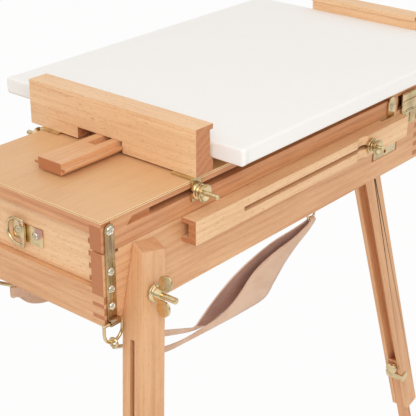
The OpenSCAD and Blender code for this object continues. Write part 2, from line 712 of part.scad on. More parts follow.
module stay_strap() {
    difference() {
        union() {
            block(arm_x, arm_x + strap_t, stay_y - 8, stay_y + 8, stay_d - 4, 45);
            rod_x(arm_x, arm_x + strap_t, stay_y, stay_d - 4, 8);
        }
        rod_x(arm_x - 1, arm_x + strap_t + 1, stay_y, stay_d, 2 + pin_gap);
    }
    for (s = [-1, 1]) {
        rod_x(arm_x + strap_t - 0.5, arm_x + arm_t - 2, stay_y + s * 4, arm_d0 + 6, 2);
        rod_x(arm_x + strap_t - 0.5, arm_x + relief, stay_y + s * 4, arm_d0 + 6, 3.5);
    }
}
module stay_strap_right() color([0.78, 0.68, 0.36]) place() stay_strap();
module stay_strap_left() color([0.78, 0.68, 0.36]) place() flip() stay_strap();
module stay_bolt() {
    rod_x(arm_x, arm_x + arm_t + 12, stay_bolt_y, arm_mid, bolt_r);
    rod_x(arm_x + 5.4, arm_x + 8.4, stay_bolt_y, arm_mid, 7);
}
module stay_bolt_right() color([0.80, 0.74, 0.55]) place() stay_bolt();
module stay_bolt_left() color([0.80, 0.74, 0.55]) place() flip() stay_bolt();
module stay_nut() cup_nut(arm_x + arm_t + 0.1, stay_bolt_y, arm_mid);
module stay_nut_right() color([0.84, 0.76, 0.48]) place() stay_nut();
module stay_nut_left() color([0.84, 0.76, 0.48]) place() flip() stay_nut();

// Drawer
drawer_half = inner_half - 0.5;
drawer_inner = drawer_half - drawer_side_t;
drawer_fy = drawer_y + drawer_front_t;
drawer_y1 = drawer_y + drawer_l;
drawer_wall_d = 25;
drawer_floor_d = 66;
module drawer_fingers() {
    for (k = [0 : 3]) block(drawer_inner, drawer_half, drawer_y, drawer_fy, 25.7 + k * 13, 31.2 + k * 13);
}
module drawer_front() {
    color([0.90, 0.70, 0.46]) place() difference() {
        block(-drawer_half, drawer_half, drawer_y, drawer_fy, drawer_d, drawer_bottom_d);
        both() drawer_fingers();
        side_cut(-drawer_half - 1, drawer_half + 1) polygon([[drawer_y - 1, drawer_d - 1], [drawer_y + 3, drawer_d - 1],
            [drawer_y + 3, drawer_d], [drawer_y, drawer_d + 2], [drawer_y - 1, drawer_d + 2]]);
        block(-drawer_inner - 4, drawer_inner + 4, drawer_fy - 4, drawer_fy + 1, drawer_floor_d, drawer_floor_d + 3);
        for (x = pull_screws) rod_y(drawer_y - 1, drawer_y + 7, x, pull_d, 1.5);
    }
}
module drawer_walls() {
    color([0.84, 0.62, 0.40]) place() difference() {
        union() {
            both() block(drawer_inner, drawer_half, drawer_fy, drawer_y1, drawer_wall_d, drawer_bottom_d);
            both() drawer_fingers();
            block(-drawer_inner, drawer_inner, drawer_y1 - 8, drawer_y1, drawer_wall_d, drawer_bottom_d);
        }
        block(-drawer_inner - 4, drawer_inner + 4, drawer_fy - 4, drawer_y1 - 4, drawer_floor_d, drawer_floor_d + 3);
    }
}
module drawer_bottom() {
    color([0.88, 0.72, 0.48]) place() block(-drawer_inner - 4, drawer_inner + 4, drawer_fy - 4, drawer_y1 - 4,
        drawer_floor_d, drawer_floor_d + 3);
}
divider_y = 200;
divider_x = 12;
divider_t = 5;
module drawer_dividers() {
    color([0.86, 0.68, 0.44]) place() {
        block(-drawer_inner, drawer_inner, divider_y, divider_y + divider_t, 32, drawer_floor_d);
        block(divider_x, divider_x + divider_t, divider_y + divider_t, drawer_y1 - 8, 32, drawer_floor_d);
    }
}
pull_x = -5;
pull_d = 47.5;
pull_screws = [-16, 9];
pull_t = 1.5;
pull_axis_y = drawer_y - pull_t - 3;
module pull_plate() {
    color([0.78, 0.68, 0.42]) place() {
        difference() {
            union() {
                block(-23, 20, drawer_y - pull_t, drawer_y, pull_d - 9.5, pull_d + 9.5);
                rod_z(pull_d - 9.5, pull_d + 9.5, pull_x, pull_axis_y, 3);
            }
            rod_z(pull_d - 12, pull_d + 12, pull_x, pull_axis_y, ring_wire_r + pin_gap);
            for (x = pull_screws) rod_y(0, drawer_y + 1, x, pull_d, 1.5);
        }
        for (x = pull_screws) {
            translate([x, drawer_y - pull_t, z_at(pull_d)]) rotate([90, 0, 0]) cylinder(h = 1.1, r1 = 3.6, r2 = 2.4, $fn = 24);
            rod_y(drawer_y - pull_t, drawer_y + 7, x, pull_d, 1.5);
        }
    }
}
pull_ring_r = 14;
module pull_ring() {
    color([0.80, 0.72, 0.48]) place() {
        rod_z(pull_d - pull_ring_r, pull_d + pull_ring_r, pull_x, pull_axis_y, ring_wire_r);
        for (s = [-1, 1]) translate([pull_x - 9, pull_axis_y, z_at(pull_d) + s * pull_ring_r]) rotate([0, 90, 0]) cylinder(h = 9, r = ring_wire_r);
        for (s = [-1, 1]) translate([pull_x, pull_axis_y, z_at(pull_d) + s * pull_ring_r]) sphere(r = ring_wire_r, $fn = 16);
        translate([pull_x - 9, pull_axis_y, z_at(pull_d)]) rotate([90, 0, 0]) rotate(90) rotate_extrude(angle = 180)
            translate([pull_ring_r, 0]) circle(r = ring_wire_r, $fn = 16);
    }
}

// Front legs in their own frame: the bolt is the origin, the leg runs down Z
module leg_frame() translate([half_w, leg_y, leg_pivot_z]) rotate([-leg_lean, 0, 0]) rotate([0, -leg_splay, 0]) children();
module bar(x0, x1, y0, y1, v0, v1) translate([x0, y0, -v1]) cube([x1 - x0, y1 - y0, v1 - v0]);
module leg_upper() {
    top_in = (face_gap + leg_top * sin(leg_splay)) / cos(leg_splay);
    difference() {
        leg_frame() difference() {
            translate([0, leg_w / 2, 0]) rotate([90, 0, 0]) linear_extrude(leg_w) polygon([[top_in, leg_top],
                [leg_out, leg_top - 9], [leg_out, -leg_l], [leg_in, -leg_l], [leg_in, -leg_wedge]]);
            bar(leg_mid - channel / 2, leg_mid + channel / 2, -channel / 2, channel / 2, 60, leg_l + 1);
            bar(leg_mid - 2.8, leg_mid + 2.8, -leg_w, 0, 50, leg_l + 1);
        }
        rod_x(half_w - 10, half_w + 60, leg_y, leg_d, stud_r);
    }
}
module leg_upper_right() color([0.84, 0.62, 0.41]) place() leg_upper();
module leg_upper_left() color([0.84, 0.62, 0.41]) place() flip() leg_upper();
module below_floor() translate([-900, -1500, -300]) cube([1800, 3000, 300]);
front_knob_v = leg_l - 20;
module leg_lower() {
    difference() {
        leg_frame() difference() {
            bar(leg_mid - inner_leg / 2, leg_mid + inner_leg / 2, -inner_leg / 2, inner_leg / 2,
                leg_l - leg_overlap, leg_l - leg_overlap + front_inner_l);
            translate([leg_mid, -inner_leg / 2 + 8, -front_knob_v]) rotate([90, 0, 0]) cylinder(h = 10, r = bolt_r);
        }
        below_floor();
    }
}
module leg_lower_right() color([0.80, 0.56, 0.35]) place() leg_lower();
module leg_lower_left() color([0.80, 0.56, 0.35]) place() flip() leg_lower();
// Thumb knob, its axis towards the painter, seat on the face at y
module knob(y, depth, h) {
    rotate([90, 0, 0]) {
        translate([0, 0, -y + 0.1]) cylinder(h = 3, r1 = 6, r2 = 5);
        translate([0, 0, -y + 3.1]) cylinder(h = h, r = 9);
        translate([0, 0, -y - depth]) cylinder(h = depth + 1, r = bolt_r - pin_gap);
    }
}
module leg_knob_right() color([0.84, 0.76, 0.48]) place() leg_frame() translate([leg_mid, 0, -front_knob_v]) knob(-leg_w / 2, leg_w / 2 - inner_leg / 2 + 8, 7);
module leg_knob_left() color([0.84, 0.76, 0.48]) place() flip() leg_frame() translate([leg_mid, 0, -front_knob_v]) knob(-leg_w / 2, leg_w / 2 - inner_leg / 2 + 8, 7);

// Rear leg in its own frame: the pin is the origin, the leg runs down Z
rear_front = -rear_leg_t / 2;
rear_channel_v = 45;
clip_v = 462;
clip_t = 1.5;
rear_inner_v = 432;
module rear_frame() translate([0, rear_y, rear_pivot_z]) rotate([rear_lean, 0, 0]) children();
module leg_upper_rear() {
    color([0.84, 0.62, 0.41]) place() rear_frame() difference() {
        union() {
            bar(-rear_w / 2, rear_w / 2, rear_front, -rear_front, 0, rear_leg_l);
            translate([-rear_w / 2, 0, 0]) rotate([0, 90, 0]) cylinder(h = rear_w, r = rear_leg_t / 2);
        }
        bar(-channel / 2, channel / 2, rear_front - 1, rear_back + slide_gap, rear_channel_v, rear_leg_l + 1);
        translate([-rear_w, 0, 0]) rotate([0, 90, 0]) cylinder(h = 2 * rear_w, r = pin_r);
    }
}
rear_knob_v = clip_v - 16;
module leg_lower_rear() {
    color([0.80, 0.56, 0.35]) place() difference() {
        rear_frame() difference() {
            bar(-inner_leg / 2, inner_leg / 2, rear_back - inner_leg, rear_back, rear_inner_v, rear_leg_l - leg_overlap + rear_inner_l);
            translate([0, rear_back - inner_leg + 8, -rear_knob_v]) rotate([90, 0, 0]) cylinder(h = 10, r = bolt_r);
            translate([-20, rear_back - inner_leg, -rear_inner_v]) rotate([-30, 0, 0]) cube([40, 20, 10]);
        }
        below_floor();
    }
}
module leg_clip() {
    color([0.82, 0.70, 0.36]) place() rear_frame() {
        bar(-rear_w / 2 - clip_t, rear_w / 2 + clip_t, rear_front - clip_t, rear_front, clip_v, clip_v + 13);
        bar(-rear_w / 2 - clip_t, -rear_w / 2, rear_front - 0.5, rear_front + 12, clip_v, clip_v + 13);
        bar(rear_w / 2, rear_w / 2 + clip_t, rear_front - 0.5, rear_front + 12, clip_v, clip_v + 13);
    }
}
module leg_knob_rear() {
    color([0.84, 0.76, 0.48]) place() rear_frame() translate([0, 0, -rear_knob_v]) knob(rear_front, rear_back - inner_leg + 8 - rear_front, 4.4);
}

side_panel_right();
side_panel_left();
front_rail();
back_panel();
bottom_panel();
drawer_runners();
corner_plates();
box_screws();
side_fittings();
leg_studs();
rear_bracket();
strap_hardware();
strap_right();
strap_left();
lid_panel();
lid_side_rail_right();
lid_side_rail_left();
lid_end_rails();
lid_pivot_screws();
mast_guide();
latch_catches();
latch_lever_right();
latch_lever_left();
mast_bar();
upper_clamp();
lower_holder();
holder_brackets();
holder_bolts();
holder_nut_right();
holder_nut_left();
canvas_stretcher();
canvas_cloth();
stay_arm_right();
stay_arm_left();
stay_strap_right();
stay_strap_left();
stay_bolt_right();
stay_bolt_left();
stay_nut_right();
stay_nut_left();
drawer_front();
drawer_walls();
drawer_bottom();
drawer_dividers();
pull_plate();
pull_ring();
leg_upper_right();
leg_upper_left();
leg_upper_rear();
leg_lower_right();
leg_lower_left();
leg_lower_rear();
leg_washer_right();
leg_washer_left();
wing_nut_right();
wing_nut_left();
leg_clip();
leg_knob_right();
leg_knob_left();
leg_knob_rear();
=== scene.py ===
"""Looks of a wooden sketch-box easel: woods, brass, leather straps, a stretched canvas, the camera and the stage."""
import json
import math

import bmesh
import bpy
import numpy as np
from bpy.props import FloatProperty, FloatVectorProperty, PointerProperty
from mathutils import Matrix, Vector

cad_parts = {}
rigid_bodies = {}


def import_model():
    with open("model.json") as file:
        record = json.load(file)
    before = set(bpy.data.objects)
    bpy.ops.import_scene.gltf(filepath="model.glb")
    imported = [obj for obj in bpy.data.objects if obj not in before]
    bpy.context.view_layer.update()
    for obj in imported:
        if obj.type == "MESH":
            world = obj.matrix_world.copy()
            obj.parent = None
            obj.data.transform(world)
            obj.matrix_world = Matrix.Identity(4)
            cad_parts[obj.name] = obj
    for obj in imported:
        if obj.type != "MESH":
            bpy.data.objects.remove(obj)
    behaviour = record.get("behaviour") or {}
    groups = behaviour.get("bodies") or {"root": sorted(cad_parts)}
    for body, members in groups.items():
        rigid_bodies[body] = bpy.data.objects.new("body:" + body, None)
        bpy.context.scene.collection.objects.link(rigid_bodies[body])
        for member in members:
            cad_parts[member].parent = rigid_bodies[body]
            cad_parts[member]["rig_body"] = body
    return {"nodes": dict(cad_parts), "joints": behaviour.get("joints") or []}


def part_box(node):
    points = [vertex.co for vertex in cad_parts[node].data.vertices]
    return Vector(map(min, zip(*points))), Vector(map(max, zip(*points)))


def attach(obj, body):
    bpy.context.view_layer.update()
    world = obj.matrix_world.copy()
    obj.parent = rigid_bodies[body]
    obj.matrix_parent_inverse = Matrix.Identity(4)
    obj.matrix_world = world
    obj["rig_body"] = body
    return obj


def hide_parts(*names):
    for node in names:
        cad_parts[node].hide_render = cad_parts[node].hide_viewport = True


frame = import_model()

bl_info = {
    "name": "Sketch-Box Easel",
    "version": (1, 0, 0),
    "blender": (4, 5, 0),
    "location": "View3D > Sidebar > Easel",
    "description": "Finishes, straps, canvas and stage of a sketch-box easel",
    "category": "Object",
}

MM = 0.001
SIDES = (("right", 1), ("left", -1))
BOX_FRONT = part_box("side_panel_right")[0].y
LID_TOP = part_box("lid_panel")[1].z
CLOTH_LOW, CLOTH_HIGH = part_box("canvas_cloth")
ALONG, ACROSS = (0, 1, 0), (1, 0, 0)
DOUBLES = 0.000001

# The camera: its turn and rise in degrees, its place in metres, its focal length in the photograph's pixels
CAMERA_TURN, CAMERA_RISE = 40.3, 24.8
CAMERA_PLACE = (0.7999, -1.02664, 1.3644)
CAMERA_FOCUS, PHOTO_WIDTH, SENSOR = 1175, 416, 36

# How the legs stand, in degrees
LEG_LEAN, LEG_SPLAY, REAR_LEAN = 13, 10, 19.4

# The canvas: the rounding of its edges, and how high and how far its corners lift
CLOTH_ROUND = 0.0022
CORNER_LIFT, CORNER_REACH = 0.0005, 0.012

# The strap, in millimetres: x of the eye's wire, and x, y and half width of the turn round the hook's bar
EYE_X = 97
HOOK_X, HOOK_Y, HOOK_TURN = 95, 58, 2.6
TWIST_Y = 158

# The place, y and depth, of each kind of bolt, in millimetres
STUD_AT, HOLDER_AT, STAY_AT = (46, 83.5), (130, 11.75), (418, 47.5)


def at(x, y, depth):
    """A point in millimetres: x from the middle, y from the front of the box, depth below the lid."""
    return (x * MM, BOX_FRONT + y * MM, LID_TOP - depth * MM)


def screen(red, green, blue):
    """A colour as a screen shows it, 0 to 255, in the linear values that Blender keeps."""
    part = np.array([red, green, blue]) / 255
    return tuple(float(v) for v in np.where(part <= 0.04045, part / 12.92, ((part + 0.055) / 1.055) ** 2.4))


def colour(name, description, *rgb):
    """A colour setting with its default as a screen shows it."""
    return FloatVectorProperty(name=name, description=description, subtype="COLOR", size=3, min=0, max=1, default=screen(*rgb))


def length(name, description, default):
    """A length setting, its default in metres."""
    return FloatProperty(name=name, description=description, default=default, min=0, soft_max=1, unit="LENGTH")


class EaselWoods(bpy.types.PropertyGroup):
    """Colours of the woods and the softness of their edges."""

    beech: colour("Beech", "Oiled beech of the box and the legs", 233, 182, 134)
    beech_vein: colour("Beech vein", "Darker bands and streaks in the beech", 198, 132, 86)
    pale: colour("Pale beech", "Beech of the arms, the drawer front and the holder", 247, 206, 160)
    pale_vein: colour("Pale vein", "Bands in the pale beech", 220, 164, 114)
    red: colour("Red beech", "Redder beech of the lid frame", 226, 166, 117)
    red_vein: colour("Red vein", "Bands in the red beech", 186, 116, 72)
    end_grain: colour("End grain", "Cut ends of the beech", 190, 120, 78)
    ply: colour("Birch ply", "Face of the lid and the bottom", 229, 182, 132)
    ply_vein: colour("Ply vein", "Figure in the ply's face", 205, 150, 98)
    ply_edge: colour("Ply edge", "The outer layers at the ply's edge", 247, 212, 160)
    ply_core: colour("Ply core", "The middle layer at the ply's edge", 190, 134, 88)
    pine: colour("Pine", "Bars of the stretcher", 236, 205, 156)
    pine_vein: colour("Pine vein", "Rings in the stretcher's bars", 208, 163, 108)
    edge: length("Edge softness", "Width of the rounding along the wood's edges", 0.0006)


class EaselMetals(bpy.types.PropertyGroup):
    """Colours of the fittings."""

    brass: colour("Brass", "Yellow passivated fittings", 234, 213, 168)
    brass_deep: colour("Brass shade", "Duller patches of the passivation", 170, 144, 102)
    tint: colour("Rainbow tint", "Pinkish film on the pull plate", 192, 150, 140)
    nickel: colour("Screws", "Pale zinc of the screw heads", 236, 230, 214)
    nickel_deep: colour("Screw shade", "Duller patches of the screws", 170, 152, 120)
    edge: length("Fitting edge", "Width of the rounding along the fittings' edges", 0.00025)


class EaselSoft(bpy.types.PropertyGroup):
    """Sizes and colours of the canvas and the straps."""

    cloth: colour("Canvas", "Primed canvas", 252, 250, 247)
    # The darker colour between the canvas threads is painted shade
    cloth_shade: colour("Canvas shade", "Between the threads of the canvas", 240, 235, 228)
    turn_under: length("Turned under", "Cloth that is folded under the stretcher's bars", 0.013)
    hide: colour("Strap front", "Smooth side of the leather straps", 224, 190, 164)
    hide_shade: colour("Strap front shade", "Patches on the smooth side", 204, 164, 134)
    flesh: colour("Strap back", "Darker strand of the leather straps", 164, 118, 98)
    flesh_shade: colour("Strap back shade", "Patches on the darker strand", 138, 92, 76)
    rim: colour("Strap rim", "Cut edge of the leather", 236, 208, 188)
    hide_thick: length("Strap thickness", "Thickness of the leather", 0.0016)


class EaselStage(bpy.types.PropertyGroup):
    """The light and the floor."""

    floor: colour("Floor", "Plain pale floor", 244, 243, 241)
    sky: FloatProperty(name="Sky strength", description="Strength of the plain world light", default=0.80, min=0, max=3)
    key: FloatProperty(name="Key light", description="Power of the large lamp", default=20.0, min=0, max=1000, unit="POWER")


class Tree:
    """Short calls for the nodes of one tree."""

    def __init__(self, tree):
        self.tree = tree
        tree.nodes.clear()

    def add(self, kind, inputs=None, **fields):
        """Makes a node, sets its fields, and feeds its inputs with values or with other nodes' outputs."""
        node = self.tree.nodes.new(kind)
        for field, value in fields.items():
            setattr(node, field, value)
        for key, value in (inputs or {}).items():
            if isinstance(value, bpy.types.NodeSocket):
                self.tree.links.new(value, node.inputs[key])
            else:
                node.inputs[key].default_value = value
        return node

    def math(self, operation, first, second=0.0, clamp=False):
        """A Math node's result."""
        return self.add("ShaderNodeMath", {0: first, 1: second}, operation=operation, use_clamp=clamp).outputs[0]

    def mix(self, share, first, second):
        """Two colours mixed by a share."""
        return self.add("ShaderNodeMix", {0: share, 6: first, 7: second}, data_type="RGBA").outputs[2]

    def steps(self, value, low, high):
        """0 below low, 1 above high, with a smooth step between."""
        inputs = {0: value, 1: low, 2: high, 3: 0.0, 4: 1.0}
        return self.add("ShaderNodeMapRange", inputs, interpolation_type="SMOOTHSTEP").outputs[0]

    def noise(self, vector, stretch, detail=2.0, roughness=0.5):
        """Noise on a vector that is stretched by three factors per metre."""
        scaled = self.add("ShaderNodeVectorMath", {0: vector, 1: stretch}, operation="MULTIPLY").outputs[0]
        inputs = {"Vector": scaled, "Scale": 1.0, "Detail": detail, "Roughness": roughness}
        return self.add("ShaderNodeTexNoise", inputs).outputs[0]


def new_group(name, inputs, outputs):
    """A shader node group with named sockets; returns its tree, the input node's outputs and a call that ends it."""
    group = bpy.data.node_groups.new(name, "ShaderNodeTree")
    for way, sockets in (("INPUT", inputs), ("OUTPUT", outputs)):
        for label, kind in sockets:
            group.interface.new_socket(name=label, in_out=way, socket_type=f"NodeSocket{kind}")
    tree = Tree(group)
    source = tree.add("NodeGroupInput").outputs

    def close(**results):
        tree.add("NodeGroupOutput", results)
        return group

    return tree, source, close


def wood_grain_group():
    """Grain along Y. Rings are distances from a far pith, warped by long noise; streaks, fibres and flecks
    are noise stretched along Y; faces across Y show end grain."""
    tree, source, close = new_group(
        "Wood Grain",
        (("Vector", "Vector"), ("Facing", "Vector"), ("Light", "Color"), ("Vein", "Color"), ("End", "Color"),
         ("Rings", "Float"), ("Streaks", "Float"), ("Flecks", "Float")),
        (("Color", "Color"), ("Roughness", "Float"), ("Height", "Float")),
    )
    vector = source["Vector"]
    apart = tree.add("ShaderNodeSeparateXYZ", {0: vector}).outputs
    warp = tree.noise(vector, (9, 1.6, 9), 3.0)
    across = tree.math("POWER", tree.math("ADD", apart[0], 0.043), 2.0)
    deep = tree.math("POWER", tree.math("ADD", apart[2], 0.071), 2.0)
    radius = tree.math("SQRT", tree.math("ADD", across, deep))
    radius = tree.math("ADD", radius, tree.math("MULTIPLY", warp, 0.055))
    wave = tree.math("SINE", tree.math("MULTIPLY", radius, 2 * math.pi / 0.0085))
    ring = tree.math("POWER", tree.math("ADD", tree.math("MULTIPLY", wave, 0.5), 0.5), 2.4)
    streak = tree.steps(tree.noise(vector, (210, 7, 210), 4.0, 0.6), 0.36, 0.68)
    fibre = tree.noise(vector, (1500, 42, 1500), 3.0, 0.6)
    fleck = tree.steps(tree.noise(vector, (1150, 170, 1150), 2.0, 0.5), 0.60, 0.70)
    cloud = tree.noise(vector, (16, 5, 16), 2.0)
    share = tree.math("MULTIPLY", ring, source["Rings"])
    share = tree.math("ADD", share, tree.math("MULTIPLY", streak, source["Streaks"]))
    share = tree.math("ADD", share, tree.math("MULTIPLY", tree.math("SUBTRACT", fibre, 0.5), 0.9))
    share = tree.math("ADD", share, tree.math("MULTIPLY", tree.math("SUBTRACT", cloud, 0.42), 0.9), clamp=True)
    face = tree.mix(share, source["Light"], source["Vein"])
    dark = tree.mix(0.55, source["Vein"], source["End"])
    face = tree.mix(tree.math("MULTIPLY", fleck, source["Flecks"]), face, dark)
    turned = tree.add("ShaderNodeSeparateXYZ", {0: source["Facing"]}).outputs
    cut = tree.steps(tree.math("ABSOLUTE", turned[1]), 0.72, 0.9)
    speckle = tree.noise(vector, (620, 620, 620), 3.0, 0.65)
    end = tree.mix(tree.steps(speckle, 0.35, 0.75), source["End"], tree.mix(0.5, source["End"], source["Vein"]))
    end = tree.mix(tree.math("MULTIPLY", ring, 0.35), end, source["Vein"])
    whole = tree.mix(cut, face, end)
    rough = tree.math("ADD", 0.40, tree.math("MULTIPLY", streak, 0.12))
    rough = tree.math("ADD", rough, tree.math("MULTIPLY", cut, 0.14))
    height = tree.math("SUBTRACT", tree.math("MULTIPLY", fibre, 0.6), tree.math("MULTIPLY", fleck, 0.5))
    return close(Color=whole, Roughness=rough, Height=height)


def ply_edge_group():
    """At a sheet's edges the depth below its upper face, counted in layers, tells the two outer layers from the core."""
    tree, source, close = new_group(
        "Ply Edge",
        (("Vector", "Vector"), ("Facing", "Vector"), ("Face", "Color"), ("Pale", "Color"), ("Core", "Color"),
         ("Upper", "Float"), ("Layer", "Float")),
        (("Color", "Color"), ("Edge", "Float")),
    )
    height = tree.add("ShaderNodeSeparateXYZ", {0: source["Vector"]}).outputs[2]
    depth = tree.math("DIVIDE", tree.math("SUBTRACT", source["Upper"], height), source["Layer"])
    above = tree.math("SUBTRACT", 1.0, tree.steps(depth, 1.75, 1.9))
    core = tree.math("MULTIPLY", tree.steps(depth, 1.0, 1.15), above)
    upright = tree.add("ShaderNodeSeparateXYZ", {0: source["Facing"]}).outputs[2]
    edge = tree.math("SUBTRACT", 1.0, tree.steps(tree.math("ABSOLUTE", upright), 0.3, 0.6))
    rough_cut = tree.noise(source["Vector"], (500, 500, 900), 3.0)
    layer = tree.mix(core, source["Pale"], source["Core"])
    layer = tree.mix(tree.math("MULTIPLY", tree.steps(rough_cut, 0.5, 0.75), 0.4), layer, source["Core"])
    return close(Color=tree.mix(edge, source["Face"], layer), Edge=edge)


def metal_film_group():
    """Passivated metal: broad clouds mix two tones, and fine scratches along Y change the gloss."""
    tree, source, close = new_group(
        "Metal Film",
        (("Vector", "Vector"), ("Bright", "Color"), ("Dull", "Color"), ("Tint", "Color"), ("Tinted", "Float")),
        (("Color", "Color"), ("Roughness", "Float"), ("Height", "Float")),
    )
    vector = source["Vector"]
    cloud = tree.steps(tree.noise(vector, (55, 55, 55), 2.0, 0.5), 0.36, 0.68)
    grime = tree.steps(tree.noise(vector, (210, 210, 210), 3.0, 0.55), 0.5, 0.8)
    scratch = tree.noise(vector, (2600, 160, 2600), 2.0)
    share = tree.math("ADD", tree.math("MULTIPLY", cloud, 0.55), tree.math("MULTIPLY", grime, 0.3), clamp=True)
    face = tree.mix(share, source["Bright"], source["Dull"])
    film = tree.steps(tree.noise(vector, (60, 60, 60), 2.0), 0.44, 0.56)
    face = tree.mix(tree.math("MULTIPLY", film, source["Tinted"]), face, source["Tint"])
    rough = tree.math("ADD", 0.17, tree.math("MULTIPLY", grime, 0.12))
    rough = tree.math("ADD", rough, tree.math("MULTIPLY", scratch, 0.08))
    return close(Color=face, Roughness=rough, Height=scratch)


def leather_group():
    """Leather: cells of a fine Voronoi pattern are its pores, and two noises give patches and creases along the strap."""
    tree, source, close = new_group(
        "Leather Grain",
        (("Vector", "Vector"), ("Smooth", "Color"), ("Patch", "Color")),
        (("Color", "Color"), ("Roughness", "Float"), ("Height", "Float")),
    )
    vector = source["Vector"]
    pores = tree.add("ShaderNodeTexVoronoi", {"Vector": vector, "Scale": 1150.0}).outputs["Distance"]
    patch = tree.steps(tree.noise(vector, (36, 22, 36), 4.0, 0.6), 0.36, 0.66)
    speckle = tree.noise(vector, (900, 500, 900), 2.0)
    spots = tree.math("MULTIPLY", tree.math("SUBTRACT", speckle, 0.5), 0.8)
    share = tree.math("ADD", tree.math("MULTIPLY", patch, 0.6), spots, clamp=True)
    face = tree.mix(share, source["Smooth"], source["Patch"])
    rough = tree.math("ADD", 0.52, tree.math("MULTIPLY", speckle, 0.2))
    height = tree.math("ADD", tree.math("MULTIPLY", pores, 0.6), tree.math("MULTIPLY", speckle, 0.4))
    return close(Color=face, Roughness=rough, Height=height)


def weave_group():
    """Plain weave on a map in metres: warp and weft are rows of half sines, and a chequer of threads says which lies on
    top. The low places between the threads take a darker colour, a painted shade.
    """
    tree, source, close = new_group(
        "Canvas Weave",
        (("Vector", "Vector"), ("Thread", "Color"), ("Gap", "Color"), ("Pitch", "Float")),
        (("Color", "Color"), ("Height", "Float")),
    )
    apart = tree.add("ShaderNodeSeparateXYZ", {0: source["Vector"]}).outputs
    u = tree.math("DIVIDE", apart[0], source["Pitch"])
    v = tree.math("DIVIDE", apart[1], source["Pitch"])
    warp = tree.math("ABSOLUTE", tree.math("SINE", tree.math("MULTIPLY", u, math.pi)))
    weft = tree.math("ABSOLUTE", tree.math("SINE", tree.math("MULTIPLY", v, math.pi)))
    cells = tree.math("ADD", tree.math("FLOOR", u), tree.math("FLOOR", v))
    over = tree.math("FLOORED_MODULO", cells, 2.0)
    below = tree.math("SUBTRACT", 1.0, over)
    lift = tree.math("ADD", tree.math("MULTIPLY", warp, over), tree.math("MULTIPLY", weft, below))
    slub = tree.noise(source["Vector"], (300, 40, 300), 2.0)
    height = tree.math("ADD", tree.math("MULTIPLY", lift, 0.7), tree.math("MULTIPLY", slub, 0.3))
    # Where the weave is low the colour darkens: painted shade between the threads
    return close(Color=tree.mix(tree.steps(height, 0.1, 0.5), source["Gap"], source["Thread"]), Height=height)


def rgba(value):
    """A colour setting with its fourth value."""
    return (*value, 1.0)


def new_material(name):
    """A material with an empty tree, its coordinates and a call that ends it in a Principled shader with a bump."""
    material = bpy.data.materials.new(name)
    material.use_nodes = True
    tree = Tree(material.node_tree)
    coords = tree.add("ShaderNodeTexCoord").outputs

    def close(inputs, height, strength, distance=0.0002):
        bump = tree.add("ShaderNodeBump", {"Height": height, "Strength": strength, "Distance": distance}).outputs[0]
        shader = tree.add("ShaderNodeBsdfPrincipled", {**inputs, "Normal": bump}).outputs[0]
        tree.add("ShaderNodeOutputMaterial", {"Surface": shader})
        material.diffuse_color = (0.8, 0.7, 0.55, 1)
        return material

    return tree, coords, close


def place_group(tree, group, **inputs):
    """The outputs of a node group placed in a material."""
    node = tree.add("ShaderNodeGroup")
    node.node_tree = group
    for key, value in inputs.items():
        if isinstance(value, bpy.types.NodeSocket):
            tree.tree.links.new(value, node.inputs[key])
        else:
            node.inputs[key].default_value = value
    return node.outputs


def turned_coords(tree, coords, grain, shift):
    """Object coordinates and facing, turned so that the grain runs along Y."""
    turn = Vector(grain).rotation_difference(Vector((0, 1, 0))).to_euler()
    vector = tree.add("ShaderNodeMapping", {"Vector": coords["Object"], "Location": shift, "Rotation": turn}).outputs[0]
    facing = tree.add("ShaderNodeMapping", {"Vector": coords["Normal"], "Rotation": turn}, vector_type="VECTOR").outputs[0]
    return vector, facing


def wood(name, light, vein, end, grain, shift, rings, streaks, flecks):
    """Oiled wood with its grain along a direction."""
    tree, coords, close = new_material(name)
    vector, facing = turned_coords(tree, coords, grain, shift)
    grain_out = place_group(tree, bpy.data.node_groups["Wood Grain"], Vector=vector, Facing=facing, Light=rgba(light),
                            Vein=rgba(vein), End=rgba(end), Rings=rings, Streaks=streaks, Flecks=flecks)
    return close({"Base Color": grain_out["Color"], "Roughness": grain_out["Roughness"], "Coat Roughness": 0.3,
                  "Coat Weight": 0.06}, grain_out["Height"], 0.35)


def plywood(name, light, vein, pale, core, upper, layer, shift=(0, 0, 0)):
    """Birch ply: figure on the faces and layers at the edges."""
    tree, coords, close = new_material(name)
    vector, _ = turned_coords(tree, coords, ALONG, shift)
    none = tree.add("ShaderNodeCombineXYZ").outputs[0]
    grain_out = place_group(tree, bpy.data.node_groups["Wood Grain"], Vector=vector, Facing=none, Light=rgba(light),
                            Vein=rgba(vein), End=rgba(core), Rings=0.05, Streaks=0.12, Flecks=0.12)
    edge = place_group(tree, bpy.data.node_groups["Ply Edge"], Vector=coords["Object"], Facing=coords["Normal"],
                       Face=grain_out["Color"], Pale=rgba(pale), Core=rgba(core), Upper=upper, Layer=layer)
    return close({"Base Color": edge["Color"], "Roughness": grain_out["Roughness"], "Coat Roughness": 0.25,
                  "Coat Weight": 0.08}, grain_out["Height"], 0.25)


def metal(name, bright, dull, tint, tinted=0.0, shift=(0, 0, 0)):
    """Passivated or plated metal."""
    tree, coords, close = new_material(name)
    vector = tree.add("ShaderNodeMapping", {"Vector": coords["Object"], "Location": shift}).outputs[0]
    film = place_group(tree, bpy.data.node_groups["Metal Film"], Vector=vector, Bright=rgba(bright), Dull=rgba(dull),
                       Tint=rgba(tint), Tinted=tinted)
    return close({"Base Color": film["Color"], "Roughness": film["Roughness"], "Metallic": 1.0}, film["Height"],
                 0.05, 0.00003)


def leather(name, smooth, patch):
    """Vegetable-tanned leather."""
    tree, coords, close = new_material(name)
    hide = place_group(tree, bpy.data.node_groups["Leather Grain"], Vector=coords["Object"], Smooth=rgba(smooth),
                       Patch=rgba(patch))
    return close({"Base Color": hide["Color"], "Roughness": hide["Roughness"], "Sheen Weight": 0.15,
                  "Sheen Roughness": 0.5}, hide["Height"], 0.3, 0.0003)


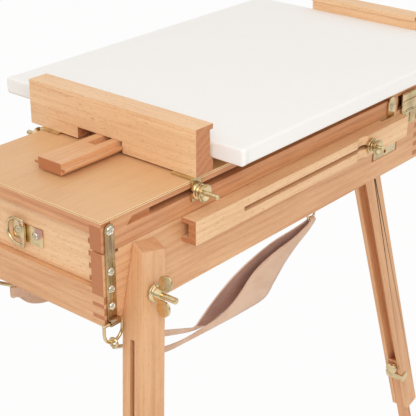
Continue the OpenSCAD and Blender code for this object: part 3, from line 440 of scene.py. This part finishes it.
def canvas_weave(name, thread, painted_gap_shade):
    """Primed canvas on its own map in metres, with painted shade between its threads."""
    tree, coords, close = new_material(name)
    weave = place_group(tree, bpy.data.node_groups["Canvas Weave"], Vector=coords["UV"], Thread=rgba(thread),
                        Gap=rgba(painted_gap_shade), Pitch=0.0007)
    return close({"Base Color": weave["Color"], "Roughness": 0.85}, weave["Height"], 0.35, 0.0002)


def dress(names, material, edge):
    """Gives CAD nodes a material and a narrow rounding along their edges."""
    for name in names:
        node = frame["nodes"][name]
        node.data.materials.clear()
        node.data.materials.append(material)
        if edge > 0:
            weld = node.modifiers.new("Weld", "WELD")
            weld.merge_threshold = 2 * DOUBLES
            bevel = node.modifiers.new("Bevel", "BEVEL")
            bevel.width = edge
            bevel.segments = 2
            bevel.limit_method = "ANGLE"
            bevel.angle_limit = math.radians(40)
            bevel.harden_normals = False


def surface(name, patches, smooth=True):
    """One mesh of several grids. A patch is (points[i, j], wraps, map or None, material's number): each cell
    of a grid is a face, and wraps joins its last row or column to the first."""
    corners, faces, flat, kinds, base = [], [], [], [], 0
    for points, wraps, spread, kind in patches:
        rows, cols = points.shape[:2]
        i, j = np.meshgrid(np.arange(rows - (not wraps[0])), np.arange(cols - (not wraps[1])), indexing="ij")
        i1, j1 = (i + 1) % rows, (j + 1) % cols
        cells = np.stack([i * cols + j, i1 * cols + j, i1 * cols + j1, i * cols + j1], -1).reshape(-1, 4)
        corners.append(points.reshape(-1, 3))
        faces.append(cells + base)
        flat.append((np.zeros((rows, cols, 2)) if spread is None else spread).reshape(-1, 2))
        kinds.append(np.full(len(cells), kind))
        base += rows * cols
    mesh = bpy.data.meshes.new(name)
    mesh.from_pydata(np.concatenate(corners).tolist(), [], np.concatenate(faces).tolist())
    mesh.polygons.foreach_set("material_index", np.concatenate(kinds).astype(np.int32))
    uv = mesh.uv_layers.new(name="Flat")
    index = np.zeros(len(mesh.loops), np.int32)
    mesh.loops.foreach_get("vertex_index", index)
    uv.data.foreach_set("uv", np.concatenate(flat)[index].ravel().astype(np.float32))
    work = bmesh.new()
    work.from_mesh(mesh)
    bmesh.ops.remove_doubles(work, verts=work.verts, dist=DOUBLES)
    bmesh.ops.dissolve_degenerate(work, edges=work.edges, dist=DOUBLES)
    bmesh.ops.recalc_face_normals(work, faces=work.faces)
    work.to_mesh(mesh)
    work.free()
    mesh.polygons.foreach_set("use_smooth", np.full(len(mesh.polygons), smooth))
    piece = bpy.data.objects.new(name, mesh)
    bpy.context.scene.collection.objects.link(piece)
    return piece


def smooth_line(points, count):
    """A Catmull-Rom curve through the points, sampled evenly in its parameter."""
    points = np.asarray(points, float)
    padded_ends = np.concatenate([2 * points[:1] - points[1:2], points, 2 * points[-1:] - points[-2:-1]])
    t = np.linspace(0, len(points) - 1, count)
    k = np.minimum(t.astype(int), len(points) - 2)
    f = (t - k)[:, None]
    a, b, c, d = (padded_ends[k + n] for n in range(4))
    return 0.5 * (2 * b + (c - a) * f + (2 * a - 5 * b + 4 * c - d) * f**2 + (3 * b - a - 3 * c + d) * f**3)


class EASEL_OT_camera(bpy.types.Operator):
    """Set the camera where the photograph was taken from."""

    bl_idname = "easel.camera"
    bl_label = "Camera"

    def execute(self, context):
        turn, rise = math.radians(CAMERA_TURN), math.radians(CAMERA_RISE)
        back = Vector((math.sin(turn) * math.cos(rise), -math.cos(turn) * math.cos(rise), math.sin(rise)))
        right = Vector((math.cos(turn), math.sin(turn), 0))
        data = bpy.data.cameras.new("Camera")
        data.sensor_width = SENSOR
        data.lens = SENSOR * CAMERA_FOCUS / PHOTO_WIDTH
        data.clip_end = 50
        camera = bpy.data.objects.new("Camera", data)
        place = Matrix((right, back.cross(right), back)).transposed().to_4x4()
        place.translation = CAMERA_PLACE
        camera.matrix_world = place
        context.scene.collection.objects.link(camera)
        context.scene.camera = camera
        return {"FINISHED"}


class EASEL_OT_effects(bpy.types.Operator):
    """Build the shader node groups that the materials share."""

    bl_idname = "easel.effects"
    bl_label = "Shared effects"

    def execute(self, context):
        for build in (wood_grain_group, ply_edge_group, metal_film_group, leather_group, weave_group):
            build()
        return {"FINISHED"}


class EASEL_OT_woods(bpy.types.Operator):
    """Finish the wooden pieces: beech with its grain along each piece, and ply with layered edges."""

    bl_idname = "easel.woods"
    bl_label = "Woods"

    def execute(self, context):
        look = context.scene.easel_woods
        tones = {
            "beech": (look.beech, look.beech_vein, 0.18, 0.32, 0.5),
            "pale": (look.pale, look.pale_vein, 0.20, 0.28, 0.65),
            "red": (look.red, look.red_vein, 0.24, 0.36, 0.45),
            "pine": (look.pine, look.pine_vein, 0.5, 0.3, 0.1),
        }
        # The order gives each piece its own part of the grain
        pieces = [
            ("side_panel_right", "beech", ALONG), ("side_panel_left", "beech", ALONG), ("front_rail", "beech", ACROSS),
            ("back_panel", "beech", ACROSS), ("drawer_runners", "beech", ALONG),
            ("lid_side_rail_right", "red", ALONG), ("lid_side_rail_left", "red", ALONG), ("lid_end_rails", "red", ACROSS),
            ("mast_guide", "beech", ACROSS), ("mast_bar", "beech", ALONG), ("upper_clamp", "pale", ACROSS),
            ("lower_holder", "pale", ACROSS), ("canvas_stretcher", "pine", ALONG),
            ("stay_arm_right", "pale", ALONG), ("stay_arm_left", "pale", ALONG),
            ("drawer_front", "pale", ACROSS), ("drawer_walls", "beech", ALONG), ("drawer_dividers", "pale", ACROSS),
        ]
        lean, splay, rear = math.radians(LEG_LEAN), math.radians(LEG_SPLAY), math.radians(REAR_LEAN)
        for side, sign in SIDES:
            down = Vector((sign * math.tan(splay), -math.tan(lean), -1)).normalized()
            pieces += [(f"leg_upper_{side}", "beech", down), (f"leg_lower_{side}", "red", down)]
        down = Vector((0, math.tan(rear), -1)).normalized()
        pieces += [("leg_upper_rear", "beech", down), ("leg_lower_rear", "red", down)]
        for number, (node, tone, grain) in enumerate(pieces):
            light, vein, rings, streaks, flecks = tones[tone]
            shift = (0.013 * number, 0.37 * number, 0.017 * number)
            end = vein if node.startswith("leg_upper") else look.end_grain
            dress([node], wood(f"wood_{node}", light, vein, end, grain, shift, rings, streaks, flecks), look.edge)
        ply = (look.ply, look.ply_vein, look.ply_edge, look.ply_core)
        dress(["lid_panel"], plywood("wood_lid_panel", *ply, LID_TOP, 0.001), look.edge * 0.6)
        for number, node in enumerate(("bottom_panel", "drawer_bottom")):
            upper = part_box(node)[1].z
            layer = (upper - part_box(node)[0].z) / 3
            dress([node], plywood(f"wood_{node}", *ply, upper, layer, shift=(0.2, 0.5 * number, 0)), 0)
        return {"FINISHED"}


# Screws: x, y, depth, the way the head faces, the head's radius, and the turn of its recess
BOX_SCREWS = [(sign * 109, 9, depth, (sign, 0, 0), 4.2, depth * sign) for sign in (1, -1) for depth in (53.6, 72, 90)]
BOX_SCREWS += [(sign * 105.9, y, 80, (sign, 0, 0), 2.9, y) for sign in (1, -1) for y in (465, 501)]
BOX_SCREWS += [(x, 562, depth, (0, 1, 0), 3.4, depth) for x in (-9, 9) for depth in (70, 96)]
LID_SCREWS = [(sign * 109.1, 9.7, 11.5, (sign, 0, 0), 5.0, sign) for sign in (1, -1)]
LID_SCREWS += [(sign * 109.1, 488.6, 23.7, (sign, 0, 0), 3.4, 2 * sign) for sign in (1, -1)]


def screw(seat, way, radius, spin):
    """A wood screw. Its head is a dome, 1 less the squared distance from its middle, to the power 0.7; a cross
    of two soft-edged bars is sunk into it, and a shank follows below."""
    angle = np.linspace(0, 2 * math.pi, 48, endpoint=False)[None]
    out = np.concatenate([np.linspace(0, 1, 19)[:, None] * radius, [[radius], [radius], [0.0017], [0.0014], [0.0]]])
    lift = 0.44 * radius * (1 - (out / radius) ** 2) ** 0.7
    lift[19:, 0] = [0, -0.0001, -0.0001, -0.008, -0.009]
    x, y = out * np.cos(angle + spin), out * np.sin(angle + spin)
    wide, long = 0.15 * radius, 0.62 * radius

    def bar(a, b):
        beside = 1 + np.exp((np.abs(a) - wide) / (0.03 * radius))
        beyond = 1 + np.exp((np.abs(b) - long) / (0.04 * radius))
        return 1 / beside / beyond

    head = np.arange(len(out))[:, None] < 19
    z = lift - head * 0.42 * radius * np.maximum(bar(x, y), bar(y, x))
    turn = Vector((0, 0, 1)).rotation_difference(Vector(way)).to_matrix()
    points = np.stack([out * np.cos(angle), out * np.sin(angle), z], -1)
    return points @ np.array(turn).T + np.array(seat)


class EASEL_OT_metals(bpy.types.Operator):
    """Finish the brass and steel fittings."""

    bl_idname = "easel.metals"
    bl_label = "Fittings"

    def execute(self, context):
        look = context.scene.easel_metals
        brass = metal("brass", look.brass, look.brass_deep, look.tint, 0.1)
        plate = metal("brass_plate", look.brass_deep, look.brass, look.tint, 0.25)
        rainbow = metal("brass_rainbow", look.brass, look.brass_deep, look.tint, 0.9, shift=(0.01, 0, 0.004))
        pale = metal("zinc", look.nickel, look.nickel_deep, look.tint, 0.05)
        dress(["corner_plates"], plate, look.edge)
        dress(["pull_plate"], rainbow, look.edge)
        for name, spots in (("box_screws", BOX_SCREWS), ("lid_pivot_screws", LID_SCREWS)):
            patches = [screw(at(x, y, depth), way, radius * MM, spin) for x, y, depth, way, radius, spin in spots]
            piece = surface(f"{name}_set", [(points, (False, True), None, 0) for points in patches])
            piece.data.materials.append(pale)
            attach(piece, frame["nodes"][name]["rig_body"])
            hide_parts(name)
        heads = [screw(at(x, 5.6, 47.5), (0, -1, 0), 4.1 * MM, 0.5 * x) for x in (-16, 9)]
        piece = surface("pull_screws", [(points, (False, True), None, 0) for points in heads])
        piece.data.materials.append(pale)
        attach(piece, "drawer")
        dress(["strap_hardware", "rear_bracket", "leg_studs"], brass, 0)
        single = ["side_fittings", "latch_catches", "holder_brackets", "holder_bolts", "leg_clip", "pull_ring", "leg_knob_rear"]
        dress(single, brass, look.edge)
        for stem in ("latch_lever", "holder_nut", "stay_strap", "stay_bolt", "stay_nut", "leg_washer", "wing_nut", "leg_knob"):
            dress([f"{stem}_{side}" for side, _ in SIDES], brass, look.edge)
        return {"FINISHED"}


def canvas_border(half_x, half_y, steps_x, steps_y, turns):
    """The base points and outward directions round a rectangle: straight runs at the given steps, and a fan
    of directions at each corner."""
    base, out = [], []
    angles = np.linspace(0, math.pi / 2, turns + 2)[1:-1]
    runs = (((steps_x, -half_y), (0, -1)), ((half_x, steps_y), (1, 0)),
            ((steps_x[::-1], half_y), (0, 1)), ((-half_x, steps_y[::-1]), (-1, 0)))
    for (x, y), way in runs:
        x, y = np.broadcast_arrays(x, y)
        base.append(np.stack([x, y], -1))
        out.append(np.broadcast_to(way, (len(x), 2)))
        start = math.atan2(way[1], way[0])
        base.append(np.repeat(base[-1][-1:], turns, 0))
        out.append(np.stack([np.cos(start + angles), np.sin(start + angles)], -1))
    return np.concatenate(base), np.concatenate(out)


class EASEL_OT_canvas(bpy.types.Operator):
    """Stretch the canvas over its bars: a flat top, rounded edges, walls with folded corners, and a hem turned under."""

    bl_idname = "easel.canvas"
    bl_label = "Canvas"

    def execute(self, context):
        look = context.scene.easel_soft
        low, high = np.array(CLOTH_LOW), np.array(CLOTH_HIGH)
        middle, half = (low + high) / 2, (high - low) / 2
        rim = CLOTH_ROUND
        half_x, half_y = half[0] - rim, half[1] - rim

        def stops(reach):
            near = reach - np.geomspace(0.0005, 0.03, 12)[::-1]
            return np.unique(np.concatenate([-near, np.linspace(-near[0], near[0], 18), near, [-reach, reach]]).round(6))

        x, y = stops(half_x), stops(half_y)
        # The top sags a little between the bars and stands a little proud at the corners
        gx, gy = np.meshgrid(x, y, indexing="ij")
        inner = np.clip(1 - (gx / (half_x - 0.03)) ** 2, 0, 1) * np.clip(1 - (gy / (half_y - 0.03)) ** 2, 0, 1)
        from_corner = np.hypot(half_x - np.abs(gx), half_y - np.abs(gy))
        top = high[2] - 0.0009 * inner + CORNER_LIFT * np.exp(-(from_corner / CORNER_REACH) ** 2)
        grid = np.stack([gx + middle[0], gy + middle[1], top], -1)
        flat_top = np.stack([gx, gy], -1)
        # Walls: a quarter round, the drop, another quarter round, and the hem
        base, out = canvas_border(half_x, half_y, x, y, 3)
        arc = np.linspace(0, math.pi / 2, 6)
        drop = np.linspace(high[2] - rim, low[2] + rim, 12)[1:-1]
        under = low[2] - 0.0001
        hem = -np.linspace(0, look.turn_under, 5)[1:]
        reach = np.concatenate([rim * np.sin(arc), np.full(len(drop), rim), rim * np.cos(arc), hem])
        upper_round, lower_round = high[2] - rim * (1 - np.cos(arc)), under + rim * (1 - np.sin(arc))
        height = np.concatenate([upper_round, drop, lower_round, np.full(len(hem), under)])
        r, z = reach[:, None], height[:, None]
        corner = np.hypot(half_x - np.abs(base[:, 0]), half_y - np.abs(base[:, 1]))[None]
        fallen = (high[2] - z) / (high[2] - low[2])
        long_wall = (np.abs(out[:, 0]) > 0.3)[None]
        # A flap is folded over the long walls: its edge bends inwards on its way down from the upper corner
        fold = 0.0013 / (1 + np.exp((corner - 0.0065 + 0.003 * fallen**2) / 0.0004)) * long_wall
        soft = (0.0008 * np.exp(-(corner / 0.008) ** 2) + 0.00025 * np.sin(base[:, 1] * 70)[None]) * long_wall
        proud = np.clip(r / rim, 0, 1) * (fold + soft * np.sin(np.pi * np.clip(fallen, 0, 1)))
        lift = CORNER_LIFT * np.exp(-(corner / CORNER_REACH) ** 2) * np.clip(1 - fallen * 6, 0, 1)
        # Only the long walls, which face along X, stand proud
        outward = np.maximum(r, 0)
        flare = outward + proud
        wall = base[None] + out[None] * np.stack([flare, outward + 0 * flare], -1)
        inward = np.minimum(r, 0)
        limit_x, limit_y = half_x + inward, half_y + inward
        wall[..., 0] = np.where(inward < 0, np.clip(wall[..., 0], -limit_x, limit_x), wall[..., 0])
        wall[..., 1] = np.where(inward < 0, np.clip(wall[..., 1], -limit_y, limit_y), wall[..., 1])
        walls = np.concatenate([wall + middle[:2], (z + lift)[..., None]], -1)
        run = np.concatenate([[0], np.cumsum(np.hypot(np.diff(reach), np.diff(height)))])
        flat_wall = base[None] + out[None] * run[:, None, None]
        piece = surface("canvas_sheet", [(grid, (False, False), flat_top, 0), (walls, (False, True), flat_wall, 0)])
        piece.data.materials.append(canvas_weave("canvas", look.cloth, look.cloth_shade))
        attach(piece, "canvas")
        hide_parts("canvas_cloth")
        return {"FINISHED"}


# Cross-sections of the strap's strands, from the eye to the hook: x, y and depth of the upper edge, and then
# of the lower edge, in millimetres
EYE_END = ((EYE_X, 341.5, 121.9, EYE_X, 349.5, 121.9), (99.2, 341.5, 123.2, 99.2, 349.5, 123.2),
           (99.8, 340.5, 125.5, 99.8, 349.3, 126.5))
FRONT_MIDDLE = ((98, 330, 131, 97.5, 340, 137), (96, 312, 137.5, 96, 320, 149), (94.5, 288, 142, 95, 300, 163),
                (94, 262, 147.5, 95, 280, 180), (94, 240, 156, 95, 262, 193.5))
FRONT_RIGHT = ((94, 213, 174, 95.5, 222, 194), (94.5, 187, 182.5, 96, 184, 192), (95, 154, 184.5, 96.5, 154, 190),
               (96, 124, 183.5, 96.8, 124, 187.8), (97.2, 94, 178, 97.2, 94, 184.5), (97.6, 66, 168, 97.6, 66, 175))
FRONT_LEFT = ((94, 213, 171, 95.5, 216, 198), (94.5, 187, 179, 96, 182, 201), (95.5, 150, 185.5, 96.5, 150, 203),
              (96.5, 109, 186.5, 97, 109, 202), (97.2, 84, 178, 97.2, 82, 193), (97.6, 66, 164, 97.6, 65, 177))
BACK_MIDDLE = ((93, 318, 128.5, 92, 330, 140), (91, 281, 132, 88, 305, 155), (89, 245, 140.5, 85, 272, 168),
               (88, 213, 151, 84, 243, 178), (88.5, 180, 166, 85, 213, 186), (90, 158, 177, 87, 185, 189.5),
               (91.5, 146, 181, 89.5, 160, 188), (94, 130, 174.5, 93, 134, 181), (96, 95, 160, 96, 95, 167),
               (97.6, 66, 150, 97.6, 66, 157.5))


def strand(middle, upper, lower, slope, outer, sign):
    """A ribbon between two smooth edges. It starts over the eye's wire on its outer or inner side, and ends
    in a half turn round the hook's bar, from upper to lower in depth, with a short flap behind it."""
    start = np.array(EYE_END, float)
    start[:, [0, 3]] = EYE_X + outer * (start[:, [0, 3]] - EYE_X)
    turn = np.linspace(0, math.pi, 5)
    bend_x, bend_y = HOOK_X + HOOK_TURN * np.cos(turn), HOOK_Y - HOOK_TURN * np.sin(turn)
    bend = np.stack([bend_x, bend_y, upper + 0 * turn, bend_x, bend_y, lower + 0 * turn], -1)
    flap = [(92.2, HOOK_Y + back, upper + slope * back, 92.2, HOOK_Y + back, lower + slope * back) for back in (8, 20)]
    edges = smooth_line(np.concatenate([start, np.array(middle, float), bend, flap]), 150)
    across = np.linspace(0, 1, 9)[None, :, None]
    line = edges[:, None, :3] * (1 - across) + edges[:, None, 3:] * across
    width = np.linalg.norm(edges[:, 3:] - edges[:, :3], axis=1)[:, None]
    # The leather cups across its width, by up to a thirtieth of it
    line[..., 0] += outer * 0.033 * width * 4 * across[..., 0] * (1 - across[..., 0])
    return np.stack(at(sign * line[..., 0], line[..., 1], line[..., 2]), -1)


class EASEL_OT_straps(bpy.types.Operator):
    """Hang the leather straps between the screw eyes and the snap hooks."""

    bl_idname = "easel.straps"
    bl_label = "Straps"

    def execute(self, context):
        look = context.scene.easel_soft
        hide = leather("leather_front", look.hide, look.hide_shade)
        flesh = leather("leather_back", look.flesh, look.flesh_shade)
        rim = leather("leather_rim", look.rim, look.hide_shade)
        for side, sign in SIDES:
            if sign > 0:
                front = strand(FRONT_MIDDLE + FRONT_RIGHT, 166, 173, 0.33, 1, sign)
            else:
                front = strand(FRONT_MIDDLE + FRONT_LEFT, 161, 173.5, 0.5, 1, sign)
            back = strand(BACK_MIDDLE, 148, 155.5, 0.3, -1, sign)
            # The back strand has the darker colour up to where it narrows, and the front's colour after it
            twist = int(np.argmax(back[:, 4, 1] < BOX_FRONT + TWIST_Y * MM))
            parts = ((front, 0), (back[: twist + 1], 1), (back[twist:], 0))
            piece = surface(f"strap_band_{side}", [(points, (False, False), None, kind) for points, kind in parts])
            for material in (hide, flesh, rim, rim):
                piece.data.materials.append(material)
            thick = piece.modifiers.new("Thickness", "SOLIDIFY")
            thick.thickness = look.hide_thick
            thick.offset = 0
            thick.use_even_offset = True
            thick.material_offset_rim = 2
            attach(piece, "box")
            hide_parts(f"strap_{side}")
        return {"FINISHED"}


def threaded_rod(start, end, y, depth, radius, pitch, sign):
    """A threaded rod along X with a chamfered tip. Radius is that of the thread's root; it rises and falls
    once each pitch and once each turn, which makes one helix."""
    rows = np.arange(start, end - 0.7, pitch / 8)
    angle = np.linspace(0, 2 * math.pi, 28, endpoint=False)[None]
    phase = (rows[:, None] / pitch - angle / (2 * math.pi)) % 1
    r = radius + 0.2 * pitch * (1 - np.abs(2 * phase - 1))
    butt = np.zeros((1, 28))
    tip = np.array([[radius], [radius * 0.72], [0.0]]) + 0 * angle
    x = np.concatenate([rows[:1], rows, [end - 0.6, end, end]])[:, None] + 0 * angle
    r = np.concatenate([butt, r, tip])
    return np.stack(at(sign * x, y + r * np.cos(angle), depth + r * np.sin(angle)), -1)


class EASEL_OT_threads(bpy.types.Operator):
    """Cut the threads on the leg bolts and on the long bolts of the holder and the stays."""

    bl_idname = "easel.threads"
    bl_label = "Threads"

    def execute(self, context):
        look = context.scene.easel_metals
        brass = metal("brass_thread", look.brass, look.brass_deep, look.tint, 0.05)
        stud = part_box("leg_studs")[1].x / MM + 0.05
        travel = next(joint for joint in frame["joints"] if joint["name"] == "leg_right_shift")["range_m"][1] / MM
        # The stud's thread begins where the washer ends when the leg is folded
        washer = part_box("leg_washer_right")[1].x / MM + travel + 0.3
        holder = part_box("holder_bolts")[1].x / MM
        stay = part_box("stay_bolt_right")[1].x / MM
        rods = [
            ("stud_thread", "box", washer, stud, STUD_AT, 3.04, 1.25),
            ("holder_thread", "holder", holder - 4, holder + 14, HOLDER_AT, 2.42, 0.9),
            ("stay_thread", "arm_bolt_{}", stay - 2, stay + 6, STAY_AT, 2.42, 0.9),
        ]
        for side, sign in SIDES:
            for stem, body, start, end, (y, depth), radius, pitch in rods:
                points = threaded_rod(start, end, y, depth, radius, pitch, sign)
                piece = surface(f"{stem}_{side}", [(points, (False, True), None, 0)], smooth=False)
                piece.data.materials.append(brass)
                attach(piece, body.format(side))
        return {"FINISHED"}


class EASEL_OT_stage(bpy.types.Operator):
    """Lay a pale floor and light the easel with a plain sky and one large soft lamp."""

    bl_idname = "easel.stage"
    bl_label = "Stage"

    def execute(self, context):
        look = context.scene.easel_stage
        steps = np.linspace(-6, 6, 9)
        gx, gy = np.meshgrid(steps, steps, indexing="ij")
        floor = surface("floor", [(np.stack([gx, gy, 0 * gx - 0.0005], -1), (False, False), None, 0)])
        material = bpy.data.materials.new("floor")
        material.use_nodes = True
        tree = Tree(material.node_tree)
        seen = tree.add("ShaderNodeLightPath").outputs
        plain = tree.add("ShaderNodeBsdfDiffuse", {"Color": rgba(look.floor)}).outputs[0]
        white = tree.add("ShaderNodeEmission", {"Color": (1, 1, 1, 1), "Strength": 1.0}).outputs[0]
        direct = tree.math("MAXIMUM", seen["Is Camera Ray"], tree.math("MULTIPLY", seen["Is Glossy Ray"], 0.4))
        share = tree.math("MULTIPLY", direct, 0.93)
        mixed = tree.add("ShaderNodeMixShader", {0: share, 1: plain, 2: white}).outputs[0]
        tree.add("ShaderNodeOutputMaterial", {"Surface": mixed})
        floor.data.materials.append(material)
        world = bpy.data.worlds.new("studio")
        context.scene.world = world
        world.use_nodes = True
        tree = Tree(world.node_tree)
        seen = tree.add("ShaderNodeLightPath").outputs
        through = tree.math("MAXIMUM", seen["Is Glossy Ray"], seen["Is Transmission Ray"])
        direct = tree.math("MAXIMUM", seen["Is Camera Ray"], through)
        sky = tree.add("ShaderNodeBackground", {"Color": (1, 0.99, 0.975, 1), "Strength": look.sky}).outputs[0]
        rise = tree.add("ShaderNodeSeparateXYZ", {0: tree.add("ShaderNodeTexCoord").outputs["Generated"]}).outputs[2]
        soft_box = tree.math("ADD", 0.34, tree.math("MULTIPLY", tree.steps(rise, 0.0, 0.6), 0.75))
        gloss = tree.math("MULTIPLY", seen["Is Glossy Ray"], tree.math("SUBTRACT", 1.0, seen["Is Camera Ray"]))
        bright = tree.math("ADD", tree.math("SUBTRACT", 1.0, gloss), tree.math("MULTIPLY", gloss, soft_box))
        white = tree.add("ShaderNodeBackground", {"Color": (1, 1, 1, 1), "Strength": bright}).outputs[0]
        mixed = tree.add("ShaderNodeMixShader", {0: direct, 1: sky, 2: white}).outputs[0]
        tree.add("ShaderNodeOutputWorld", {"Surface": mixed})
        lamp = bpy.data.lights.new("key", "AREA")
        lamp.energy = look.key
        lamp.shape = "RECTANGLE"
        lamp.size = lamp.size_y = 1.6
        key = bpy.data.objects.new("key", lamp)
        key.location = (1.5, -1.6, 2.3)
        key.rotation_euler = (Vector((0, -0.2, 0.8)) - key.location).to_track_quat("-Z", "Y").to_euler()
        context.scene.collection.objects.link(key)
        context.scene.view_settings.view_transform = "Standard"
        return {"FINISHED"}


class EASEL_PT_panel(bpy.types.Panel):
    """The easel's pieces and settings in the sidebar."""

    bl_label = "Sketch-box easel"
    bl_idname = "EASEL_PT_panel"
    bl_space_type = "VIEW_3D"
    bl_region_type = "UI"
    bl_category = "Easel"

    def draw(self, context):
        for step in STEPS:
            self.layout.operator(step.bl_idname)
        for setting in SETTINGS:
            group = getattr(context.scene, setting)
            box = self.layout.box()
            for name in group.__annotations__:
                box.prop(group, name)


STEPS = (EASEL_OT_camera, EASEL_OT_effects, EASEL_OT_woods, EASEL_OT_metals, EASEL_OT_canvas, EASEL_OT_straps,
         EASEL_OT_threads, EASEL_OT_stage)
SETTINGS = {"easel_woods": EaselWoods, "easel_metals": EaselMetals, "easel_soft": EaselSoft, "easel_stage": EaselStage}


def register():
    for item in (*SETTINGS.values(), *STEPS, EASEL_PT_panel):
        bpy.utils.register_class(item)
    for name, group in SETTINGS.items():
        setattr(bpy.types.Scene, name, PointerProperty(type=group))


def unregister():
    for name in SETTINGS:
        delattr(bpy.types.Scene, name)
    for item in reversed((*SETTINGS.values(), *STEPS, EASEL_PT_panel)):
        bpy.utils.unregister_class(item)


def main():
    register()
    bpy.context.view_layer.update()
    for step in STEPS:
        family, name = step.bl_idname.split(".")
        if getattr(getattr(bpy.ops, family), name)() != {"FINISHED"}:
            raise RuntimeError(f"{step.bl_idname} did not finish")


if __name__ == "__main__":
    main()
